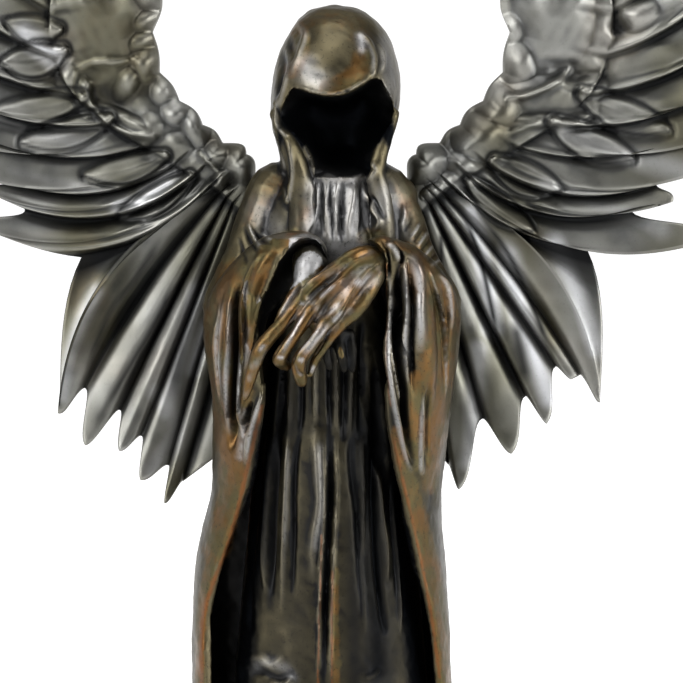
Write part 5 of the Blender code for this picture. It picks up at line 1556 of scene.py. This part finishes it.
@dataclass
class CastWing:
    """One wing: a lumpy arm, a furred band of coverts and a fan of long feathers."""

    side: Side
    finish: CastBronze
    upper_count: int = 9
    upper_centre: Row = (-61.9, 242.0)
    upper_turn: Row = (223, 78)
    root: Row = (-24.0, 200.0)
    backset: float = 13.0
    sheet: float = 3.0
    tip_sheet: float = 1.4
    covert_edge: float = 1.7
    arm_rows: int = 58
    feather_rows: int = 84
    half_columns: int = 13
    back_triangles: int = 46000

    def pleats(self) -> list[Pleat]:
        """Every feather, from the body outwards and up.

        Returns:
            One row for each feather.
        """
        made = [
            Pleat(root, tip, notch, bow, fall, scoop)
            for (root, bow, fall, scoop), tip, notch in zip(LOWER_PLEATS, TIPS[self.side], NOTCHES[self.side])
        ]
        for share in np.linspace(0, 1, self.upper_count):
            reach = float(np.interp(share, (0, 0.35, 0.8, 1), (60, 69, 90, 80)))
            bow = -0.24 + 0.08 * share
            tip = self.fan_spot(share, reach)
            notch = self.fan_spot(share + 0.55 / (self.upper_count - 1), reach * 0.82)
            made.append(Pleat(0.37 + 0.63 * share, tip, notch, bow, bow))
        return made

    def fan_spot(self, share: float, reach: float) -> Row:
        """A place of the upper fan, by its share of the turn and its reach.

        Args:
            share: How far round the fan, 0 to 1.
            reach: How far from its centre.

        Returns:
            The place, x and z.
        """
        first, last = self.upper_turn
        turn = math.radians(first + (last - first) * share)
        return (self.upper_centre[0] + reach * math.cos(turn), self.upper_centre[1] + reach * math.sin(turn))

    def line(self, root: np.ndarray, tip: Row, bow: float, share: np.ndarray) -> np.ndarray:
        """Points along a curved spine or valley.

        Args:
            root: Where it starts.
            tip: Where it ends.
            bow: How far it bends, as a share of its length.
            share: How far along each point is.

        Returns:
            One (x, z) row for each share.
        """
        end = np.array(tip)
        run = end - root
        middle = (root + end) / 2 + np.array((run[1], -run[0])) * bow
        t = share[:, None]
        return (1 - t) ** 2 * root + 2 * t * (1 - t) * middle + t**2 * end

    def build(self) -> bpy.types.Object:
        """Models the wing as a front and a back sheet sewn together.

        Returns:
            The wing's object.
        """
        pleats = self.pleats()
        inner = [(t, *p) for t, p in zip(np.linspace(0, 1, len(ARM_INNER)), ARM_INNER)]
        outer = [(t, *p) for t, p in zip(np.linspace(0, 1, len(ARM_OUTER)), ARM_OUTER)]
        arm = np.linspace(0, 1, self.arm_rows)
        middle = np.linspace(0.03, 0.984, self.feather_rows - 4) ** 0.98
        reach = np.concatenate([[0.012], middle, [0.991, 0.996, 1.0]])
        flat, places, crosses = [], [], []
        for i in range(len(pleats) - 1):
            low, high = pleats[i], pleats[i + 1]
            valley_root = (low.root + high.root) / 2
            valley_start = smooth(outer, valley_root)[0]
            for spine, shares in ((low, np.linspace(0, 1, self.half_columns + 1)[:-1]),
                                  (high, np.linspace(1, 0, self.half_columns + 1)[:-1])):
                start = smooth(outer, spine.root)[0]
                length = np.linalg.norm(np.array(spine.tip) - start)
                short = np.linalg.norm(np.array(low.notch) - valley_start)
                drop = max(length - short, 0) / length if low.scoop is None else 0
                for share in shares:
                    place = spine.root + (valley_root - spine.root) * share
                    rounding = share - (1 - math.cos(math.pi * share**1.3)) / 2
                    rounding -= 0.08 * math.sin(math.pi * share)
                    scoop = (low.scoop or 0) * 4 * share * (1 - share)
                    t = reach * (1 + (rounding * drop - scoop) * reach**2)
                    spine_line = self.line(start, spine.tip, spine.bow, t)
                    valley_line = self.line(valley_start, low.notch, low.fall, t)
                    fan = spine_line + (valley_line - spine_line) * share
                    near, far = smooth(inner, place)[0], smooth(outer, place)[0]
                    outwards = (near - far) / np.linalg.norm(near - far)
                    near = near + outwards * 1.3 * (abs(math.sin(place * 34)) - 0.4)
                    band = near + (far - near) * arm[:, None]
                    flat.append(np.vstack([band, fan]))
                    places.append(place)
                    crosses.append(i + 0.5 * share if spine is low else i + 1 - 0.5 * share)
        flat = np.array(flat)
        rows = np.concatenate([arm - 1, reach])
        grid_place = np.repeat(np.array(places)[:, None], len(rows), 1)
        grid_cross = np.repeat(np.array(crosses)[:, None], len(rows), 1)
        grid_row = np.repeat(rows[None, :], len(places), 0)
        front, back = self.heights(flat, grid_place, grid_cross, grid_row)
        return self.sewn(flat, front, back)

    def heights(
        self, flat: np.ndarray, place: np.ndarray, cross: np.ndarray, row: np.ndarray
    ) -> tuple[np.ndarray, np.ndarray]:
        """How far the front and the back stand forward of the wing's middle.

        Args:
            flat: The (x, z) of each point of the grid.
            place: Its place along the arm, 0 to 1.
            cross: Its place across the feathers: whole at a spine, half at a valley.
            row: -1 to 0 across the arm, and 0 to 1 along a feather.

        Returns:
            The front's and the back's heights.
        """
        shape = row.shape
        spots = flat.reshape(-1, 2)
        on_arm = row <= 0
        share = np.clip(row + 1, 0, 1)
        t = np.clip(row, 0, 1)
        bulge = np.interp(place, *zip(*ARM_BULGE))
        ragged = self.covert_edge * (1 + 0.5 * np.sin(place * 44 + 1))
        swell = np.maximum(bulge * np.sin(np.pi * np.clip((share + 0.12) / 1.12, 0, 1)), 0) ** 0.9
        swell = swell + ragged * share
        swell = np.where(on_arm, swell, 0)
        pleat = np.interp(place, *zip(*PLEATS))
        w = (cross + 0.5) % 1.0
        off = np.abs(2 * w - 1)
        folded = 0.70 - 0.75 * off**2 - 0.95 * np.exp(-(((1 - off) / 0.16) ** 2))
        lapped = np.interp(w, LAP_PLACES, LAP_HEIGHTS)
        kind = np.clip((cross - 5.45) / 0.1, 0, 1)
        fold = pleat * (folded * (1 - kind) + 1.15 * lapped * kind)
        pick = np.random.default_rng(11 if self.side is Side.LEFT else 12)
        tilt = pick.uniform(-1.0, 1.0, 40)[np.floor(cross + 0.5).astype(int)]
        fold = fold + tilt * (w - 0.5) * (1.8 + 1.2 * (1 - kind))
        root_strength = 0.45 * np.clip(share * 2 - 1, 0, 1) ** 1.5
        strength = np.where(on_arm, root_strength, np.sin(np.pi * (0.15 + 0.67 * t)))
        fold = fold * strength
        drift = 0.5 * noise(spots, 30, 21).reshape(shape)
        lane = w * 4.5 + 0.9 * np.sin(t * 4 + cross * 2.1) + drift
        barbs = np.sin(lane * math.tau) + 0.4 * np.sin(lane * 2.3 * math.tau)
        barbs = barbs * np.sin(np.pi * np.clip(t * 1.02, 0, 1))
        barbs *= (0.03 + 0.05 * kind) * np.clip(0.55 + 0.6 * noise(spots, 34, 22).reshape(shape), 0, 1.3)
        covert_t = 0.42 - 0.20 * off + 0.03 * np.sin(cross * 9)
        over = 0.8 * kind / (1 + np.exp((t - covert_t) / 0.02)) * (~on_arm)
        front = swell + np.where(on_arm, 0, over + barbs) + fold
        front += self.stamped(spots).reshape(shape)
        hammer = (0.30 * noise(spots, 13, 23) + 0.05 * noise(spots, 4.5, 24)).reshape(shape)
        front += hammer * np.where(on_arm, np.clip(share * 6, 0, 1), np.clip(1 - t * 8, 0, 1))
        front += 0.05 * noise(spots, 9.0, 25).reshape(shape)
        for _ in range(2):
            front[1:-1] = 0.25 * (front[:-2] + front[2:]) + 0.5 * front[1:-1]
        taper = np.interp(t, (0, 0.6, 1), (self.sheet, self.sheet, self.tip_sheet))
        half = np.where(on_arm, self.sheet, taper) / 2
        half = half * np.sqrt(1 - 0.94 * np.clip((t - 0.984) / 0.016, 0, 1) ** 2)
        return front + half, -0.6 * swell - half + 0.8 * fold + 0.5 * barbs

    def stamped(self, spots: np.ndarray) -> np.ndarray:
        """The knobs of the arm and the leaf-shaped coverts, as heights over (x, z) spots.

        Args:
            spots: The (x, z) rows.

        Returns:
            One height for each spot.
        """
        total = np.zeros(len(spots))
        hollows = np.zeros(len(spots))
        for (x, z), (wide, tall), turn, height in LUMPS[self.side]:
            c, s = math.cos(math.radians(turn)), math.sin(math.radians(turn))
            dx, dz = spots[:, 0] - x, spots[:, 1] - z
            far = np.hypot((dx * c + dz * s) / wide, (dz * c - dx * s) / tall) * 0.74
            if height > 0:
                total = np.maximum(total, 1.2 * height * np.cos(math.pi / 2 * np.clip(far, 0, 1)))
            else:
                hollows += height * np.exp(-(far**2.6))
        total += hollows
        for width, height, path in RIMS[self.side]:
            near, far, share = distance_to(spots, path, 3 * width)
            total[near] += height * np.sin(math.pi * share) ** 0.4 * np.exp(-((far / width) ** 2))
        for root, tip, half in COVERTS[self.side]:
            near, far, width = self.leaf(spots, root, tip, half)
            edge = 1 / (1 + np.exp((far - width) / 0.16))
            total[near] += edge * (1.1 + 0.3 * np.exp(-((far / 0.9) ** 2)) - 0.35 * (far / half))
            total[near] -= 0.7 * np.exp(-(((far - width - 0.7) / 0.6) ** 2))
        return total

    def leaf(
        self, spots: np.ndarray, root: Row, tip: Row, half: float
    ) -> tuple[np.ndarray, np.ndarray, np.ndarray]:
        """Measures spots against one leaf-shaped covert.

        Args:
            spots: Rows of (x, z), the left wing's way round.
            root: Where the covert starts.
            tip: Its point.
            half: Half of its greatest width.

        Returns:
            Which spots are near, how far each is off the quill, and the covert's half width there.
        """
        path = [root, ((root[0] + tip[0]) / 2, (root[1] + tip[1]) / 2 - 1.2), tip]
        near, far, share = distance_to(spots, path, half * 1.7)
        return near, far, half * np.sin(np.pi * np.clip(share * 0.9 + 0.08, 0, 1)) ** 0.7 + 0.05

    def sewn(self, flat: np.ndarray, front: np.ndarray, back: np.ndarray) -> bpy.types.Object:
        """Two sheets of points, sewn together round their edge.

        Args:
            flat: The (x, z) of each point of the grid.
            front: The front's height.
            back: The back's height.

        Returns:
            The wing's object, in place.
        """
        wide, tall = front.shape
        x, z = flat[..., 0], flat[..., 1]
        far = np.hypot(x - self.root[0], z - self.root[1]) / 100
        depth = self.backset + 5 * np.sin(np.minimum(far, 1) * math.pi) - 5 * far**2
        inward = np.clip((130 - np.abs(x)) / 30, 0, 1)
        across = x * -self.side.value * (1 + inward * depth / CAMERA_DISTANCE)
        z = z - depth * math.tan(math.radians(CAMERA_ELEVATION))
        sheets = [np.stack([across, depth - height, z], -1).reshape(-1, 3) for height in (front, back)]
        points = np.vstack(sheets) * STEP + np.array((0, 0, FOOT))
        index = np.arange(wide * tall).reshape(wide, tall)
        quads = np.stack([index[:-1, :-1], index[1:, :-1], index[1:, 1:], index[:-1, 1:]], -1).reshape(-1, 4)
        rim = [*index[:, 0], *index[-1, 1:], *index[-2::-1, -1], *index[0, -2:0:-1]]
        offset = wide * tall
        faces = [tuple(q) for q in quads] + [tuple(q[::-1] + offset) for q in quads]
        faces += [(a, a + offset, b + offset, b) for a, b in zip(rim, rim[1:] + rim[:1])]
        made = new_object(f"{self.side.name.lower()}_wing", [tuple(p) for p in points], faces)
        activate(made)
        bpy.ops.object.mode_set(mode="EDIT")
        bpy.ops.mesh.select_all(action="SELECT")
        bpy.ops.mesh.normals_make_consistent(inside=False)
        bpy.ops.object.mode_set(mode="OBJECT")
        thin_side(made, lambda face: face.normal.y > 0.15, self.back_triangles)
        return made

    def dress(self, obj: bpy.types.Object) -> None:
        """Works out where the wing is stained, rubbed and darkened and where its painted highlights lie, and
        gives it its finish.

        Args:
            obj: The object that build gave.
        """
        skin = Surface(obj)
        skin.store("relief", skin.relief(30))
        spots = seen(skin.points)
        # a faint silver mottle, then the painted highlights of SHEEN
        silver = 0.25 * np.clip(0.5 + 0.8 * noise(skin.points, 40, 32), 0, 1)
        for width, strength, path in SHEEN[self.side]:
            near, far, _ = distance_to(spots, path, 2.4 * width)
            silver[near] = np.maximum(silver[near], strength * np.exp(-((far / width) ** 2)))
        skin.store(Ink.SILVER.value, silver * (skin.normals[:, 1] < 0))
        skin.store(Ink.BROWN.value, 0.32 * np.clip(0.4 + 0.9 * noise(skin.points, 36, 31), 0, 1))
        skin.store(Ink.RUST.value, np.zeros(len(skin.points)))
        # creases darkened by their depth, then the listed dark lines and a dark ring round each covert
        black = np.clip(-skin.relief(16) * 1.7 - 0.12, 0, 0.92)
        for width, strength, path in WING_STAIN[self.side]:
            near, far, share = distance_to(spots, path, 2.4 * width)
            fade = np.clip(np.minimum(share, 1 - share) * 5, 0, 1) * (skin.normals[near, 1] < 0)
            black[near] = np.maximum(black[near], strength * fade * np.exp(-((far / width) ** 2)))
        for root, tip, half in COVERTS[self.side]:
            near, far, width = self.leaf(spots * (-self.side.value, 1), root, tip, half)
            ring = 0.85 * np.exp(-(((far - width - 0.6) / 0.7) ** 2)) * (skin.normals[near, 1] < 0)
            black[near] = np.maximum(black[near], ring)
        skin.store(Ink.BLACK.value, black)
        dressed(obj, self.finish.material(), f"wing_{self.side.name.lower()}")


# The plinth


@dataclass
class TurnedPlinth:
    """The low round plinth, with a hollow moulding round its edge."""

    radius: float = 0.04999
    height: float = PLINTH_HEIGHT
    moulding: float = 0.0025
    # nearly black and half matt, with a brown rub along the top edge
    finish: CastBronze = field(default_factory=lambda: CastBronze(
        "stained_resin_plinth", stain="#070707", body="#15130f", rubbed="#3a3124", warm="#4a2f16",
        roughness=0.33, metallic=0.2))

    def build(self) -> bpy.types.Object:
        """Spins the plinth's outline and rounds its corners.

        Returns:
            The plinth's object.
        """
        top, out = self.height, self.radius
        inset = out - self.moulding
        toe = 0.08 * top
        cove, shoulder, foot = [], [], []
        for share in np.linspace(0, 1, 9):
            cosine = 1 - math.cos(share * math.pi / 2)
            sine = 1 - math.sin(share * math.pi / 2)
            cove.append((inset + self.moulding * cosine, top * (0.55 - 0.17 * share)))
            shoulder.append((inset - self.moulding * sine, top * (1 - 0.15 * cosine)))
            foot.append((out - toe * cosine, toe * sine))
        profile = [(0.0, top), (0.6 * inset, top), *shoulder, *cove, *foot, (0.6 * out, 0.0), (0.0, 0.0)]
        made = new_object("turned_plinth", [(x, 0, z) for x, z in profile], [])
        made.data.edges.add(len(profile) - 1)
        made.data.edges.foreach_set("vertices", [i for k in range(len(profile) - 1) for i in (k, k + 1)])
        activate(made)
        bpy.ops.object.mode_set(mode="EDIT")
        bpy.ops.mesh.select_all(action="SELECT")
        bpy.ops.mesh.spin(steps=144, angle=math.tau, center=(0, 0, 0), axis=(0, 0, 1))
        bpy.ops.mesh.select_all(action="SELECT")
        bpy.ops.mesh.remove_doubles(threshold=0.00002)
        bpy.ops.mesh.normals_make_consistent(inside=False)
        bpy.ops.object.mode_set(mode="OBJECT")
        return made

    def dress(self, obj: bpy.types.Object) -> None:
        """Stains the plinth and rubs its edges.

        Args:
            obj: The object that build gave.
        """
        skin = Surface(obj)
        skin.store("relief", skin.relief(12) * 3)
        for ink in Ink:
            skin.store(ink.value, np.zeros(len(skin.points)))
        dressed(obj, self.finish.material(), "plinth")


# The studio


@dataclass
class Studio:
    """Pale paper, soft lights and the photograph's camera."""

    frame_wide: float = 0.1912

    def build(self) -> None:
        """Lays the paper, hangs the lights and sets the camera."""
        self.paper()
        self.flag()
        self.light("key", (-1.0, -0.9, 0.8), 0.95, 26.0)
        self.light("fill", (1.15, -0.7, 0.5), 0.8, 20.0)
        self.light("top", (0.0, -0.3, 1.3), 0.8, 9.0)
        world = bpy.data.worlds.new("studio_air")
        bpy.context.scene.world = world
        world.use_nodes = True
        tree = world.node_tree
        height = add_node(tree, "SeparateXYZ", out="Z", Vector=add_node(tree, "TexCoord", out="Generated"))
        glow = add_node(tree, "MapRange", EASED, i0=height, i1=0.15, i2=0.55, i3=1.1, i4=0.35)
        tree.links.new(glow, tree.nodes["Background"].inputs["Strength"])
        tree.nodes["Background"].inputs["Color"].default_value = (1.0, 1.0, 1.0, 1.0)
        bpy.context.scene.view_settings.view_transform = "Standard"
        data = bpy.data.cameras.new("photograph")
        camera = bpy.data.objects.new("photograph", data)
        bpy.context.scene.collection.objects.link(camera)
        turn = math.radians(CAMERA_ELEVATION)
        target = at(*CAMERA_AIM)
        distance = CAMERA_DISTANCE * STEP
        camera.location = target + distance * Vector((0, -math.cos(turn), math.sin(turn)))
        camera.rotation_euler = (target - camera.location).to_track_quat("-Z", "Y").to_euler()
        data.sensor_width = 36
        data.lens = 36 * distance / self.frame_wide
        data.clip_start = 0.01
        bpy.context.scene.camera = camera

    def paper(self) -> None:
        """Lays a wide flat sheet of pale paper under the figure."""
        deselect()
        bpy.ops.mesh.primitive_plane_add(size=8, location=(0, 0, -0.0005))
        floor = bpy.context.object
        floor.name = "paper_floor"
        floor.data.materials.append(StudioPaper(glow=0.7).material())

    def flag(self) -> None:
        """A black card behind the camera, which the camera never sees, so that the front reflects dark; its
        foot glows as painted light.
        """
        deselect()
        bpy.ops.mesh.primitive_cylinder_add(
            vertices=48, radius=2.0, depth=2.6, end_fill_type="NOTHING", location=(0, 0, 1.25))
        card = bpy.context.object
        card.name = "black_card"
        edit = bmesh.new()
        edit.from_mesh(card.data)
        far = [face for face in edit.faces if face.calc_center_median().y > -0.7]
        bmesh.ops.delete(edit, geom=far, context="FACES")
        edit.to_mesh(card.data)
        edit.free()
        deselect()
        card.select_set(True)
        bpy.ops.object.transform_apply(location=True, rotation=True, scale=True)
        # the card's lower 0.3 m glows white, strongest at the floor: painted light, seen only in reflections
        paper = StudioPaper("black_card", "#050505", "#060606", glow=0.9, foot=0.30)
        card.data.materials.append(paper.material())
        card.visible_camera = False

    def light(self, name: str, place: Row, size: float, power: float) -> None:
        """A square soft light that looks at the figure.

        Args:
            name: Its name.
            place: Where it hangs.
            size: How wide it is.
            power: Its strength.
        """
        data = bpy.data.lights.new(name, "AREA")
        data.size = size
        data.energy = power
        lamp = bpy.data.objects.new(name, data)
        bpy.context.scene.collection.objects.link(lamp)
        lamp.location = place
        lamp.rotation_euler = (Vector((0, 0, 0.17)) - Vector(place)).to_track_quat("-Z", "Y").to_euler()


def main() -> None:
    """Builds every piece in order, then the studio."""
    logging.basicConfig(level=logging.INFO, format="%(message)s")
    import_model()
    figure = HoodedFigure()
    figure.dress(figure.build())
    # a greyer metal than the robe's: half matt, stained in the gutters and rubbed pale on the ridges
    gunmetal = CastBronze(
        "cold_cast_gunmetal", stain="#282823", body="#49483e", rubbed="#74736b", warm="#4f452e",
        olive="#46432f", silver="#a3a4a6", roughness=0.38, metallic=0.8, cloud_mm=16.0, blotch_mm=7.0,
        mottle=0.4, dots=0.12, pit=0.05)
    for side in Side:
        wing = CastWing(side, gunmetal)
        wing.dress(wing.build())
    plinth = TurnedPlinth()
    plinth.dress(plinth.build())
    Studio().build()


if __name__ == "__main__":
    main()
